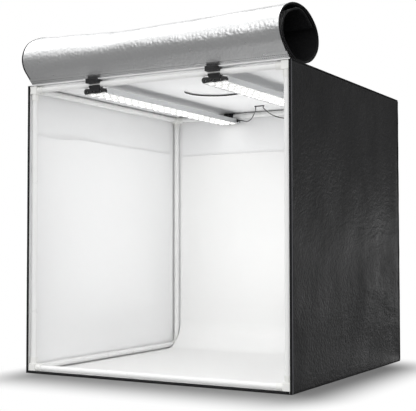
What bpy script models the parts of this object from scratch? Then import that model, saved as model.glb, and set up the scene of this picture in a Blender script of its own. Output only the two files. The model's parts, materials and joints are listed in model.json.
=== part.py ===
"""A folding photo light box: a fabric cube on a tube frame, with a rolled-up front door,
a round overhead hatch, and two light bars clipped to the front and rear top rails.

Metres, +Z up. The origin is the centre of the base, +Y points to the back wall,
and the open front faces -Y.
"""
import math

import bmesh
import bpy
from mathutils import Matrix, Vector

# Overall sizes
CUBE = 0.600            # outer side of the fabric cube
WALL = 0.002            # thickness of the padded fabric
GAP = 0.0003            # seating gap between neighbours
OVERRUN = 0.001         # how far a cutter runs past the face it cuts
MERGE = 0.00001         # points of a turned shape closer than this are one
SHARP_DEG = 40          # edges sharper than this stay crisp

# Frame tubes and corner connectors
TUBE_D = 0.012
TUBE_BORE = 0.010
ARM_D = 0.0150          # outside of a connector's socket arm
CORE = 0.017            # side of a connector's corner block
CORE_ROUND = 0.0008     # rounding of the block's edges
ARM_REACH = 0.0215      # from the corner's centre to the end of an arm
SOCKET_FLOOR = 0.0095   # from the corner's centre to the bottom of a socket
WINDOW_LONG = 0.007     # snap window in an arm
WINDOW_WIDE = 0.0022
WINDOW_DEEP = 0.0007
WINDOW_FROM_END = 0.0075

# Edge binding round the front opening
BINDING_WIDE = 0.005
BINDING_DEEP = 0.003

# Rolled front door
DOOR_T = 0.0024
DOOR_LEFT_GAP = 0.012   # from the cube's left side to the door's left end
DOOR_RIGHT_GAP = 0.001
DOOR_TRIM = 0.0045      # width of the binding on each end of the roll
DOOR_TRIM_T = 0.0032
ROLL_DEEP = 0.178       # the roll's section, front to back
ROLL_HIGH = 0.108
ROLL_FRONT = 0.041      # how far the roll stands in front of the front plane
ROLL_SAG = 0.008        # the roll is this much lower in the middle
ROLL_PRESS = 0.0015     # how far its own weight flattens the underside
ROLL_SKEW = 0.014       # the left end lies this much further back
HINGE_ABOVE = 0.001     # hinge line above the roof's top face
LEAD_IN = 0.014         # from the hinge line to where the rolled part starts
ROLL_START_DEG = 215.0  # where the lead-in meets the oval
ROLL_TURN_DEG = 540.0   # how far the sheet turns from there
ROLL_SKEW_SHARE = 0.17  # share of the turns over which the skew comes in
ROLL_STEPS = 66
ROLL_STATIONS = 8
# how far the sheet has turned, and how far it lies inside the first turn
ROLL_INSET_SHARES = (
    (0.00, 0.000), (0.57, 0.000), (0.66, 0.070), (0.75, 0.125),
    (0.83, 0.125), (0.90, 0.085), (1.00, 0.170),
)
HEM_LONG = 0.0065       # sewn hem at the roof's front edge

# Round hatch in the roof
HATCH_D = 0.130
HATCH_BACK = 0.265      # from the front plane to the hatch's centre
RING_WIDE = 0.013       # hook-and-loop ring round the hole
RING_T = 0.001
RING_CLEAR = 0.001
FLAP_T = 0.002
TAPE_LONG = 0.060       # hinge tape behind the flap
TAPE_DEEP = 0.014
TAPE_T = 0.001
FLAP_HINGE_GAP = 0.0015

# Light bars
BAR_X = {"left": -0.133, "right": 0.142}
BAR_W = 0.055
BAR_H = 0.011
BAR_WALL = 0.0016
BAR_EDGE = 0.0008       # chamfer along the channel's upper edges
LEDGE_DEEP = 0.002
LEDGE_T = 0.001
BOARD_T = 0.0012
CHIP = 0.0050
CHIP_LONG = 0.0090
CHIP_T = 0.0008
CHIP_ROWS = 22
CHIP_ACROSS = 3
CHIP_SPREAD = 0.0155    # pitch across the board

# Bar clips
CLIP_W = 0.026
CLIP_NECK_W = 0.023
CLIP_T = 0.002
CLIP_BORE_GAP = 0.0003
MOUTH_UP = 0.0006       # the mouth's upper lip above the rail's centre
MOUTH_DOWN = 0.0024     # its lower lip below the rail's centre
NOSE_FRONT = 0.007      # the finger pad stands this far in front of the front plane
NOSE_H = 0.0094
NOSE_BACK = 0.0006      # the pad's back stays this far in front of the roof's edge
RIDGE = 0.0008
RIDGES = 3
NECK_LIP = 0.0086       # front of the lower lip, from the rail's centre
PLATE_T = 0.0026
PLATE_OVER = 0.0005     # the plate is this much wider than the channel on each side
PLATE_BACK = 0.0012     # the plate's inner face, in front of the rail's centre
PLATE_HOLE_D = 0.0036
PLATE_LOBE = 0.0060     # radius of the lobe at the plate's left end
PLATE_HOLE_HEIGHT_SHARE = 0.45
PLATE_HOLE_SHARES = (-0.355, -0.075, 0.215)
# the plate's edge from the round lobe to the drooping hook and back over the top:
# along half the plate's width, and up the channel's height
PLATE_EDGE_SHARES = (
    (-0.42, 0.14), (-0.30, 0.24), (-0.16, 0.10), (0.10, 0.06), (0.48, 0.16), (0.72, 0.38), (0.84, 0.36),
    (0.90, 0.16), (1.00, 0.20), (1.00, 0.50), (0.90, 0.80), (0.62, 0.98), (0.40, 1.00), (-0.42, 1.00),
)
NECK_SHARES = (0.25, 0.50)  # where the neck leaves the plate, down the channel's height
CLIP_TURN_DEG = -84.0   # where the clip's outside starts to turn round the rail
RIDGE_SHARES = (0.25, 0.75)

# Leads, boots and roof gland
LEAD_D = 0.0022
LEAD_STUB = 0.0035      # straight run at each end of a lead
BOOT_HOLE_D = 0.0054
BOOT_NECK_D = 0.0048
BOOT_FLANGE_D = 0.0080
BOOT_FLANGE_T = 0.0012
BOOT_TAIL_D = 0.0034
BOOT_LONG = 0.008
BOOT_DOWN = 0.0044      # boot centre below the housing's top
BOOT_FROM_END = 0.012
GLAND_X = -0.008
GLAND_FROM_BACK = 0.095  # from the back wall's outside to the gland's centre
SLIT_LONG = 0.024
SLIT_WIDE = 0.0046
GLAND_FLANGE = 0.0013
GLAND_T = 0.0014
ROUTE_STEPS = 12        # points read between two of a route's own points

# Sweep backdrop, liners and the strip that holds the backdrop
SHEET_T = 0.0008
SWEEP_R = 0.070
BACKDROP_BELOW = 0.105  # from the roof's top face to the backdrop's top edge
BACKDROP_SIDE_GAP = 0.0007
STRIP_T = 0.0012
STRIP_H = 0.022
LINER_BELOW = 0.100     # from the roof's top face to the liners' top edge
LINER_DIP = 0.007       # how far the liner's top edge droops near the front
LINER_DIP_SHARE = 0.25  # share of the liner's length that droops
LINER_CELLS = 12

# Places that follow from the sizes above
FRONT = -CUBE / 2
BACK = CUBE / 2
SIDE = CUBE / 2
ROOF_UNDER = CUBE - WALL
FRAME_IN = WALL + GAP + CORE / 2                  # wall face to tube centre line
RAIL_X = SIDE - FRAME_IN
RAIL_FRONT = FRONT + BINDING_DEEP + GAP + CORE / 2
RAIL_BACK = BACK - FRAME_IN
RAIL_LOW = FRAME_IN
RAIL_HIGH = CUBE - FRAME_IN
CLIP_IN = TUBE_D / 2 + CLIP_BORE_GAP
CLIP_OUT = CLIP_IN + CLIP_T
PLATE_W = BAR_W + 2 * PLATE_OVER
BAR_TOP = RAIL_HIGH - CLIP_OUT - GAP
BAR_BOTTOM = BAR_TOP - BAR_H
BAR_START = RAIL_FRONT - PLATE_BACK + GAP
BAR_END = RAIL_BACK + PLATE_BACK - GAP
BAR_LONG = BAR_END - BAR_START
BAR_MID = (BAR_END + BAR_START) / 2
HINGE = Vector((0.0, FRONT, CUBE + HINGE_ABOVE))
HATCH_Y = FRONT + HATCH_BACK
RING_IN = HATCH_D / 2 + RING_CLEAR
RING_OUT = RING_IN + RING_WIDE
FLAP_BOTTOM = CUBE + GAP + RING_T + GAP
FLAP_AXIS = Vector((0.0, HATCH_Y + RING_OUT + FLAP_HINGE_GAP, FLAP_BOTTOM + FLAP_T / 2))
GLAND_Y = BACK - GLAND_FROM_BACK
STRIP_FACE = BACK - WALL - GAP - STRIP_T
BACKDROP_BACK = STRIP_FACE - GAP
BACKDROP_TOP = CUBE - BACKDROP_BELOW
LINER_TOP = CUBE - LINER_BELOW
CONNECTOR_IN = RAIL_X - CORE / 2                  # inner side of the connectors
SHEET_FRONT = RAIL_FRONT + CORE / 2 + GAP
BACKDROP_W = 2 * (CONNECTOR_IN - BACKDROP_SIDE_GAP)

COLOURS = {
    "fabric": ((0.018, 0.018, 0.019), 0.85, 0.0),
    "binding": ((0.010, 0.010, 0.011), 0.7, 0.0),
    "silver": ((0.78, 0.79, 0.80), 0.35, 0.6),
    "tube": ((0.86, 0.86, 0.85), 0.35, 0.0),
    "connector": ((0.82, 0.82, 0.80), 0.45, 0.0),
    "clip": ((0.016, 0.016, 0.017), 0.5, 0.0),
    "housing": ((0.72, 0.73, 0.74), 0.4, 0.9),
    "board": ((0.90, 0.90, 0.88), 0.4, 0.0),
    "sheet": ((0.88, 0.88, 0.87), 0.7, 0.0),
    "lead": ((0.05, 0.05, 0.05), 0.5, 0.0),
    "hook_tape": ((0.80, 0.80, 0.79), 0.95, 0.0),
}


def clear_scene():
    for item in list(bpy.data.objects):
        bpy.data.objects.remove(item, do_unlink=True)


def collection(name):
    made = bpy.data.collections.new(name)
    bpy.context.scene.collection.children.link(made)
    return made


def material(node, finish):
    colour, roughness, metallic = COLOURS[finish]
    made = bpy.data.materials.new(node)
    made.use_nodes = True
    shader = made.node_tree.nodes["Principled BSDF"]
    shader.inputs["Base Color"].default_value = (*colour, 1.0)
    shader.inputs["Roughness"].default_value = roughness
    shader.inputs["Metallic"].default_value = metallic
    made.diffuse_color = (*colour, 1.0)
    return made


def piece(name, mesh, finish, location=(0.0, 0.0, 0.0), rotation=None, smooth=False):
    """Links a mesh as a named sub-part, with a material of its own."""
    made = bpy.data.objects.new(name, mesh)
    PARTS.objects.link(made)
    if rotation is not None:
        made.rotation_euler = rotation.to_euler()
    made.location = location
    if smooth:
        mesh.shade_smooth()
        mesh.set_sharp_from_angle(angle=math.radians(SHARP_DEG))
    mesh.materials.clear()
    mesh.materials.append(material(name, finish))
    return made


def cutter(name, mesh, location=(0.0, 0.0, 0.0)):
    made = bpy.data.objects.new(name, mesh)
    CUTTERS.objects.link(made)
    made.location = location
    made.hide_render = True
    made.display_type = "WIRE"
    return made


def boolean(target, tool, operation):
    step = target.modifiers.new(f"{operation.lower()} {tool.name}", "BOOLEAN")
    step.operation = operation
    step.solver = "EXACT"
    step.object = tool


def mesh_from(bm, name):
    mesh = bpy.data.meshes.new(name)
    bmesh.ops.recalc_face_normals(bm, faces=bm.faces)
    bm.to_mesh(mesh)
    bm.free()
    return mesh


def box_mesh(name, low, high):
    """A box between two corners."""
    low, high = Vector(low), Vector(high)
    bm = bmesh.new()
    bmesh.ops.create_cube(bm, size=1.0)
    bmesh.ops.scale(bm, vec=high - low, verts=bm.verts)
    bmesh.ops.translate(bm, vec=(high + low) / 2, verts=bm.verts)
    return mesh_from(bm, name)


def along_axis(axis):
    """Turns what stands along Z to lie along an axis."""
    return {
        "X": Matrix.Rotation(math.pi / 2, 4, "Y"),
        "Y": Matrix.Rotation(-math.pi / 2, 4, "X"),
        "Z": Matrix.Identity(4),
    }[axis]


def cylinder_mesh(name, radius, start, end, axis, segments=16):
    """A capped cylinder along an axis, from start to end."""
    bm = bmesh.new()
    made = bmesh.ops.create_cone(
        bm, cap_ends=True, segments=segments, radius1=radius, radius2=radius, depth=end - start,
    )
    middle = Vector((axis == "X", axis == "Y", axis == "Z")) * (start + end) / 2
    place = Matrix.Translation(middle) @ along_axis(axis)
    bmesh.ops.transform(bm, matrix=place, verts=made["verts"])
    return mesh_from(bm, name)


def prism_mesh(name, outline, start, end, place):
    """A flat outline carried from start to end; place(u, v, w) gives each corner."""
    bm = bmesh.new()
    near = [bm.verts.new(place(u, v, start)) for u, v in outline]
    far = [bm.verts.new(place(u, v, end)) for u, v in outline]
    bm.faces.new(near)
    bm.faces.new(list(reversed(far)))
    for i in range(len(outline)):
        j = (i + 1) % len(outline)
        bm.faces.new((near[i], far[i], far[j], near[j]))
    return mesh_from(bm, name)


def arc(centre, radius, start_deg, end_deg, steps):
    """Points on an arc, both ends included."""
    angles = [math.radians(start_deg + (end_deg - start_deg) * i / steps) for i in range(steps + 1)]
    return [(centre[0] + radius * math.cos(a), centre[1] + radius * math.sin(a)) for a in angles]


def turned(name, profile, finish, steps, location, turn, closed=True):
    """A profile at +X, turned about Z and then laid along its own axis."""
    bm = bmesh.new()
    points = [bm.verts.new((x, 0.0, z)) for x, z in profile]
    for point, following in zip(points, points[1:]):
        bm.edges.new((point, following))
    if closed:
        bm.edges.new((points[-1], points[0]))
    mesh = bpy.data.meshes.new(name)
    bm.to_mesh(mesh)
    bm.free()
    made = piece(name, mesh, finish, location, turn)
    screw = made.modifiers.new("turn", "SCREW")
    screw.axis = "Z"
    screw.steps = steps
    screw.render_steps = steps
    screw.use_smooth_shade = True
    screw.use_merge_vertices = True
    screw.merge_threshold = MERGE


# Frame

def tube(name, length, centre, axis):
    half, outer, inner = length / 2, TUBE_D / 2, TUBE_BORE / 2
    profile = [(outer, half), (outer, -half), (inner, -half), (inner, half)]
    turned(name, profile, "tube", 16, centre, along_axis(axis))


def make_tubes():
    stop = SOCKET_FLOOR + GAP
    across = 2 * (RAIL_X - stop)
    deep = RAIL_BACK - RAIL_FRONT - 2 * stop
    tall = RAIL_HIGH - RAIL_LOW - 2 * stop
    mid_y = (RAIL_FRONT + RAIL_BACK) / 2
    for level, z in (("bottom", RAIL_LOW), ("top", RAIL_HIGH)):
        tube(f"{level}_rail_front", across, (0.0, RAIL_FRONT, z), "X")
        tube(f"{level}_rail_rear", across, (0.0, RAIL_BACK, z), "X")
        tube(f"{level}_rail_left", deep, (-RAIL_X, mid_y, z), "Y")
        tube(f"{level}_rail_right", deep, (RAIL_X, mid_y, z), "Y")
    mid_z = (RAIL_LOW + RAIL_HIGH) / 2
    for end, y in (("front", RAIL_FRONT), ("rear", RAIL_BACK)):
        tube(f"post_{end}_left", tall, (-RAIL_X, y, mid_z), "Z")
        tube(f"post_{end}_right", tall, (RAIL_X, y, mid_z), "Z")


def connector_mesh():
    """A corner block with three socket arms along +X, +Y and +Z, made once and copied."""
    block = box_mesh("connector_core", [-CORE / 2] * 3, [CORE / 2] * 3)
    core = bpy.data.objects.new("connector_core", block)
    CUTTERS.objects.link(core)
    bevel = core.modifiers.new("round", "BEVEL")
    bevel.width = CORE_ROUND
    bevel.segments = 2
    for axis in "XYZ":
        arm = cutter(f"arm_{axis}", cylinder_mesh("arm", ARM_D / 2, 0.0, ARM_REACH, axis))
        boolean(core, arm, "UNION")
    bore = TUBE_D / 2 + GAP
    for axis in "XYZ":
        socket = cylinder_mesh("socket", bore, SOCKET_FLOOR, ARM_REACH + OVERRUN, axis)
        boolean(core, cutter(f"socket_{axis}", socket), "DIFFERENCE")
    low = ARM_REACH - WINDOW_FROM_END - WINDOW_LONG / 2
    high = low + WINDOW_LONG
    inner, outer = -(ARM_D / 2 + OVERRUN), -(ARM_D / 2 - WINDOW_DEEP)
    half = WINDOW_WIDE / 2
    windows = {
        "X": ((low, inner, -half), (high, outer, half)),
        "Y": ((-half, low, inner), (half, high, outer)),
        "Z": ((inner, -half, low), (outer, half, high)),
    }
    for axis, (corner, opposite) in windows.items():
        boolean(core, cutter(f"window_{axis}", box_mesh("window", corner, opposite)), "DIFFERENCE")
    graph = bpy.context.evaluated_depsgraph_get()
    graph.update()
    mesh = bpy.data.meshes.new_from_object(core.evaluated_get(graph))
    bpy.data.objects.remove(core, do_unlink=True)
    return mesh


def make_connectors():
    corner = connector_mesh()
    for level, z, up in (("bottom", RAIL_LOW, 1), ("top", RAIL_HIGH, -1)):
        for end, y, back in (("front", RAIL_FRONT, 1), ("rear", RAIL_BACK, -1)):
            for side, x, inward in (("left", -RAIL_X, 1), ("right", RAIL_X, -1)):
                if inward * back * up > 0:
                    turn = Matrix(((inward, 0, 0), (0, back, 0), (0, 0, up)))
                else:
                    turn = Matrix(((0, inward, 0), (back, 0, 0), (0, 0, up)))
                name = f"connector_{level}_{end}_{side}"
                piece(name, corner.copy(), "connector", (x, y, z), turn, smooth=True)


# Fabric shell

def make_shell():
    wall_front = FRONT + BINDING_DEEP + GAP
    low, high = WALL + GAP, ROOF_UNDER - GAP
    inner = SIDE - WALL
    mesh = box_mesh("base_panel", (-SIDE, wall_front, 0.0), (SIDE, BACK, WALL))
    piece("base_panel", mesh, "fabric")
    for name, sign in (("left_wall", -1), ("right_wall", 1)):
        edges = sorted((sign * SIDE, sign * inner))
        mesh = box_mesh(name, (edges[0], wall_front, low), (edges[1], BACK, high))
        piece(name, mesh, "fabric")
    mesh = box_mesh("back_wall", (-inner + GAP, BACK - WALL, low), (inner - GAP, BACK, high))
    piece("back_wall", mesh, "fabric")
    mesh = box_mesh("roof_panel", (-SIDE, FRONT, ROOF_UNDER), (SIDE, BACK, CUBE))
    roof = piece("roof_panel", mesh, "fabric")
    hole = cylinder_mesh("hatch_hole", HATCH_D / 2, ROOF_UNDER - OVERRUN, CUBE + OVERRUN, "Z", 48)
    boolean(roof, cutter("hatch_hole", hole, (0.0, HATCH_Y, 0.0)), "DIFFERENCE")
    slit = box_mesh(
        "slit",
        (GLAND_X - SLIT_LONG / 2, GLAND_Y - SLIT_WIDE / 2, ROOF_UNDER - OVERRUN),
        (GLAND_X + SLIT_LONG / 2, GLAND_Y + SLIT_WIDE / 2, CUBE + OVERRUN),
    )
    boolean(roof, cutter("slit", slit), "DIFFERENCE")


def make_binding():
    back = FRONT + BINDING_DEEP
    for name, sign in (("binding_left", -1), ("binding_right", 1)):
        edges = sorted((sign * SIDE, sign * (SIDE - BINDING_WIDE)))
        mesh = box_mesh(name, (edges[0], FRONT, 0.0), (edges[1], back, ROOF_UNDER - GAP))
        rounded(piece(name, mesh, "binding"), BINDING_DEEP / 4)
    reach = SIDE - BINDING_WIDE - GAP
    mesh = box_mesh("binding_bottom", (-reach, FRONT, 0.0), (reach, back, BINDING_WIDE))
    rounded(piece("binding_bottom", mesh, "binding"), BINDING_DEEP / 4)


def rounded(target, width, segments=2):
    bevel = target.modifiers.new("round", "BEVEL")
    bevel.width = width
    bevel.segments = segments


# Rolled door

def roll_inset(share):
    """How far inside the first turn the sheet lies, eased between the named shares."""
    for (s0, v0), (s1, v1) in zip(ROLL_INSET_SHARES, ROLL_INSET_SHARES[1:]):
        if share <= s1:
            t = (share - s0) / (s1 - s0)
            t = t * t * (3 - 2 * t)
            return (v0 + (v1 - v0) * t) * ROLL_HIGH
    return ROLL_INSET_SHARES[-1][1] * ROLL_HIGH


def roll_line(x):
    """The rolled sheet's centre line at one station across the door, as (y, z) points."""
    along = x / SIDE
    sag = ROLL_SAG * (1 - along * along)
    skew = ROLL_SKEW * (0.5 - along / 2)
    deep = (ROLL_DEEP - DOOR_TRIM_T) / 2
    high = (ROLL_HIGH - sag - DOOR_TRIM_T + ROLL_PRESS) / 2
    lowest = CUBE + GAP + DOOR_TRIM_T / 2
    centre_y = FRONT - ROLL_FRONT + ROLL_DEEP / 2
    centre_z = lowest - ROLL_PRESS + high
    points = []
    for i in range(ROLL_STEPS + 1):
        share = i / ROLL_STEPS
        angle = math.radians(ROLL_START_DEG - ROLL_TURN_DEG * share)
        inset = roll_inset(share)
        shift = skew * min(1.0, share / ROLL_SKEW_SHARE)
        y = centre_y + shift + (deep - inset) * math.cos(angle)
        z = centre_z + (high - inset) * math.sin(angle)
        points.append((y, max(z, lowest)))
    hinge = Vector((HINGE.y, HINGE.z))
    start = hinge + (Vector(points[0]) - hinge).normalized() * LEAD_IN
    return [tuple(start), *points]


def sheet_between(name, stations, thickness, finish, line):
    """A strip through the stations' lines, thickened evenly on both sides."""
    bm = bmesh.new()
    rows = [[bm.verts.new((x, y, z)) for y, z in line(x)] for x in stations]
    for row, following in zip(rows, rows[1:]):
        for i in range(len(row) - 1):
            bm.faces.new((row[i], row[i + 1], following[i + 1], following[i]))
    made = piece(name, mesh_from(bm, name), finish, smooth=True)
    shell = made.modifiers.new("thickness", "SOLIDIFY")
    shell.thickness = thickness
    shell.offset = 0.0
    shell.use_even_offset = True
    return made


def on_hinge(made):
    """Moves a piece's origin to the door's hinge line, leaving its shape in place."""
    made.data.transform(Matrix.Translation(-HINGE))
    made.location = HINGE


def make_door():
    left, right = DOOR_LEFT_GAP - SIDE, SIDE - DOOR_RIGHT_GAP
    left_trim, right_trim = left + DOOR_TRIM, right - DOOR_TRIM
    start, end = left_trim + GAP, right_trim - GAP
    stations = [start + (end - start) * i / ROLL_STATIONS for i in range(ROLL_STATIONS + 1)]
    on_hinge(sheet_between("door_roll", stations, DOOR_T, "silver", roll_line))
    on_hinge(sheet_between("door_trim_left", [left, left_trim], DOOR_TRIM_T, "binding", roll_line))
    on_hinge(sheet_between("door_trim_right", [right_trim, right], DOOR_TRIM_T, "binding", roll_line))
    hinge = Vector((HINGE.y, HINGE.z))
    outward = (Vector(roll_line(0.0)[0]) - hinge).normalized()
    seat = GAP - HINGE_ABOVE * outward.y

    def hem_line(_):
        return [tuple(hinge + outward * r) for r in (seat, seat + HEM_LONG)]

    sheet_between("door_hem", [left, right], DOOR_T, "binding", hem_line)


# Hatch

def make_hatch():
    profile = [(RING_OUT, RING_T), (RING_OUT, 0.0), (RING_IN, 0.0), (RING_IN, RING_T)]
    turned("hatch_ring", profile, "hook_tape", 48, (0.0, HATCH_Y, CUBE + GAP), along_axis("Z"))
    mesh = cylinder_mesh("hatch_flap", RING_OUT, 0.0, FLAP_T, "Z", 48)
    mesh.transform(Matrix.Translation(Vector((0.0, HATCH_Y, FLAP_BOTTOM)) - FLAP_AXIS))
    flap = piece("hatch_flap", mesh, "fabric", FLAP_AXIS)
    tab = box_mesh(
        "flap_tab",
        (-TAPE_LONG / 2, -RING_OUT / 4, -FLAP_T / 2),
        (TAPE_LONG / 2, FLAP_T / 2, FLAP_T / 2),
    )
    boolean(flap, cutter("flap_tab", tab, FLAP_AXIS), "UNION")
    start = FLAP_AXIS.y + FLAP_T
    mesh = box_mesh(
        "hatch_tape",
        (-TAPE_LONG / 2, start, CUBE + GAP),
        (TAPE_LONG / 2, start + TAPE_DEEP, CUBE + GAP + TAPE_T),
    )
    piece("hatch_tape", mesh, "binding")


# Light bars

def housing_outline():
    """The channel's section, open below, with a ledge in each side for the board."""
    half, inner = BAR_W / 2, BAR_W / 2 - BAR_WALL
    board_top = BAR_H - CHIP_T - BOARD_T
    ledge_low = -(board_top - GAP)
    ledge_high = ledge_low + LEDGE_T
    right = [
        (half - BAR_EDGE, 0.0), (half, -BAR_EDGE), (half, -BAR_H), (inner, -BAR_H),
        (inner, ledge_low), (inner - LEDGE_DEEP, ledge_low), (inner - LEDGE_DEEP, ledge_high),
        (inner, ledge_high), (inner, -BAR_WALL),
    ]
    left = [(-x, z) for x, z in reversed(right)]
    return right + left


def make_bar(side, centre):
    inward = 1 if side == "left" else -1

    def along(u, v, w):
        return (u, w, v)

    origin = (centre, BAR_MID, BAR_TOP)
    mesh = prism_mesh("housing", housing_outline(), -BAR_LONG / 2, BAR_LONG / 2, along)
    housing = piece(f"bar_housing_{side}", mesh, "housing", origin)
    boot_y = BAR_LONG / 2 - BOOT_FROM_END
    hole = cylinder_mesh("boot_hole", BOOT_HOLE_D / 2, -BAR_WALL - OVERRUN, BAR_WALL + OVERRUN, "X")
    wall_x = centre + inward * BAR_W / 2
    boot_at = Vector((wall_x, BAR_MID + boot_y, BAR_TOP - BOOT_DOWN))
    boolean(housing, cutter(f"boot_hole_{side}", hole, boot_at), "DIFFERENCE")

    board_w = BAR_W - 2 * BAR_WALL - 2 * GAP
    board_low = BAR_BOTTOM + CHIP_T
    half_long = BAR_LONG / 2 - GAP
    mesh = box_mesh("board", (-board_w / 2, -half_long, 0.0), (board_w / 2, half_long, BOARD_T))
    board = piece(f"led_board_{side}", mesh, "board", (centre, BAR_MID, board_low))
    chips = bmesh.new()
    pitch = BAR_LONG / CHIP_ROWS
    for row in range(CHIP_ROWS):
        y = (row - (CHIP_ROWS - 1) / 2) * pitch
        for column in range(CHIP_ACROSS):
            x = (column - (CHIP_ACROSS - 1) / 2) * CHIP_SPREAD
            made = bmesh.ops.create_cube(chips, size=1.0)
            bmesh.ops.scale(chips, vec=(CHIP_LONG, CHIP, CHIP_T + BOARD_T / 2), verts=made["verts"])
            middle = (x, y, BOARD_T / 4 - CHIP_T / 2)
            bmesh.ops.translate(chips, vec=middle, verts=made["verts"])
    tool = cutter(f"chips_{side}", mesh_from(chips, "chips"), (centre, BAR_MID, board_low))
    boolean(board, tool, "UNION")
    make_boot(side, boot_at, inward)
    make_clip(f"clip_front_{side}", centre, -1)
    make_clip(f"clip_rear_{side}", centre, 1)


def make_boot(side, at, inward):
    """A rubber boot: flange against the channel, neck through its wall, tapered tail."""
    neck, flange, tail = BOOT_NECK_D / 2, BOOT_FLANGE_D / 2, BOOT_TAIL_D / 2
    profile = [
        (0.0, BOOT_LONG), (tail, BOOT_LONG), (neck, GAP + BOOT_FLANGE_T), (flange, GAP + BOOT_FLANGE_T),
        (flange, GAP), (neck, GAP), (neck, -BAR_WALL), (0.0, -BAR_WALL),
    ]
    turn = Matrix.Rotation(inward * math.pi / 2, 4, "Y")
    turned(f"lead_boot_{side}", profile, "lead", 16, at, turn, closed=False)


# Bar clips

def clip_section(front):
    """The clip's side section about the rail's centre: y to the front is negative."""
    up_deg = math.degrees(math.asin(MOUTH_UP / CLIP_IN))
    down_deg = math.degrees(math.asin(MOUTH_DOWN / CLIP_IN))
    points = arc((0.0, 0.0), CLIP_IN, 180 - up_deg, -180 + down_deg, 14)
    neck_front = -PLATE_BACK - PLATE_T - CLIP_T
    neck_high, neck_low = (-(CLIP_OUT + GAP + BAR_H * share) for share in NECK_SHARES)
    points += [
        (-NECK_LIP, -MOUTH_DOWN), (-NECK_LIP, -MOUTH_DOWN - CLIP_T), (neck_front, neck_high),
        (neck_front, neck_low), (-PLATE_BACK, neck_low), (-PLATE_BACK, -CLIP_OUT),
    ]
    if front:
        pad = (FRONT - NOSE_FRONT) - RAIL_FRONT
        edge = FRONT - RAIL_FRONT - NOSE_BACK
        points += arc((0.0, 0.0), CLIP_OUT, CLIP_TURN_DEG, 90, 11)
        points += [(edge, CLIP_OUT), (edge, MOUTH_UP + NOSE_H), (pad, MOUTH_UP + NOSE_H)]
        step = NOSE_H / (2 * RIDGES + 1)
        for i in range(RIDGES):
            top = MOUTH_UP + NOSE_H - step * (2 * i + 1)
            crest = [(pad - RIDGE, top - step * share) for share in RIDGE_SHARES]
            points += [(pad, top), *crest, (pad, top - step)]
        points += [(pad, MOUTH_UP)]
    else:
        points += arc((0.0, 0.0), CLIP_OUT, CLIP_TURN_DEG, 180 - up_deg, 17)
    return points


def plate_outline():
    """The end plate seen from the front: a round lobe at one side, a drooping hook at the other."""
    half, low = PLATE_W / 2, -(CLIP_OUT + GAP + BAR_H)
    lobe = arc((-half + PLATE_LOBE, low + PLATE_LOBE), PLATE_LOBE, 100, 262, 7)
    return lobe + [(half * u, low + BAR_H * v) for u, v in PLATE_EDGE_SHARES]


def make_clip(name, centre, end):
    front = end < 0
    rail = RAIL_FRONT if front else RAIL_BACK
    turn = Matrix.Identity(4) if front else Matrix.Rotation(math.pi, 4, "Z")

    def across(u, v, w):
        drop = min(1.0, max(0.0, -v / (CLIP_OUT + BAR_H / 2)))
        width = CLIP_W + (CLIP_NECK_W - CLIP_W) * drop
        return (w * width, u, v)

    def facing(u, v, w):
        return (u, w, v)

    body = prism_mesh(name, clip_section(front), -0.5, 0.5, across)
    clip = piece(name, body, "clip", (centre, rail, RAIL_HIGH), turn)
    plate = prism_mesh("plate", plate_outline(), -PLATE_BACK - PLATE_T, -PLATE_BACK, facing)
    tool = cutter(f"plate_{name}", plate, clip.location)
    tool.rotation_euler = turn.to_euler()
    boolean(clip, tool, "UNION")
    middle = -(CLIP_OUT + GAP + BAR_H * (1 - PLATE_HOLE_HEIGHT_SHARE))
    hole_start = -PLATE_BACK - PLATE_T - CLIP_T - OVERRUN
    for i, share in enumerate(PLATE_HOLE_SHARES):
        mesh = cylinder_mesh("plate_hole", PLATE_HOLE_D / 2, hole_start, OVERRUN, "Y", 10)
        mesh.transform(Matrix.Translation((share * PLATE_W, 0.0, middle)))
        hole = cutter(f"hole_{i}_{name}", mesh, clip.location)
        hole.rotation_euler = turn.to_euler()
        boolean(clip, hole, "DIFFERENCE")


# Leads and gland

def smooth_route(points, spacing):
    """A smooth curve through the route's own points, read at an even spacing."""
    points = [Vector(p) for p in points]
    ends = [2 * points[0] - points[1], *points, 2 * points[-1] - points[-2]]
    dense = []
    for a, b, c, d in zip(ends, ends[1:], ends[2:], ends[3:]):
        for i in range(ROUTE_STEPS):
            t = i / ROUTE_STEPS
            bend = (2 * a - 5 * b + 4 * c - d) * t * t + (3 * b - a - 3 * c + d) * t ** 3
            dense.append((2 * b + (c - a) * t + bend) / 2)
    dense.append(points[-1])
    total = sum((q - p).length for p, q in zip(dense, dense[1:]))
    count = max(2, round(total / spacing))
    route, walked, target = [dense[0]], 0.0, total / count
    for p, q in zip(dense, dense[1:]):
        step = (q - p).length
        while walked + step >= target and len(route) < count:
            route.append(p.lerp(q, (target - walked) / step))
            target += total / count
        walked += step
    route.append(dense[-1])
    return route, total


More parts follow.
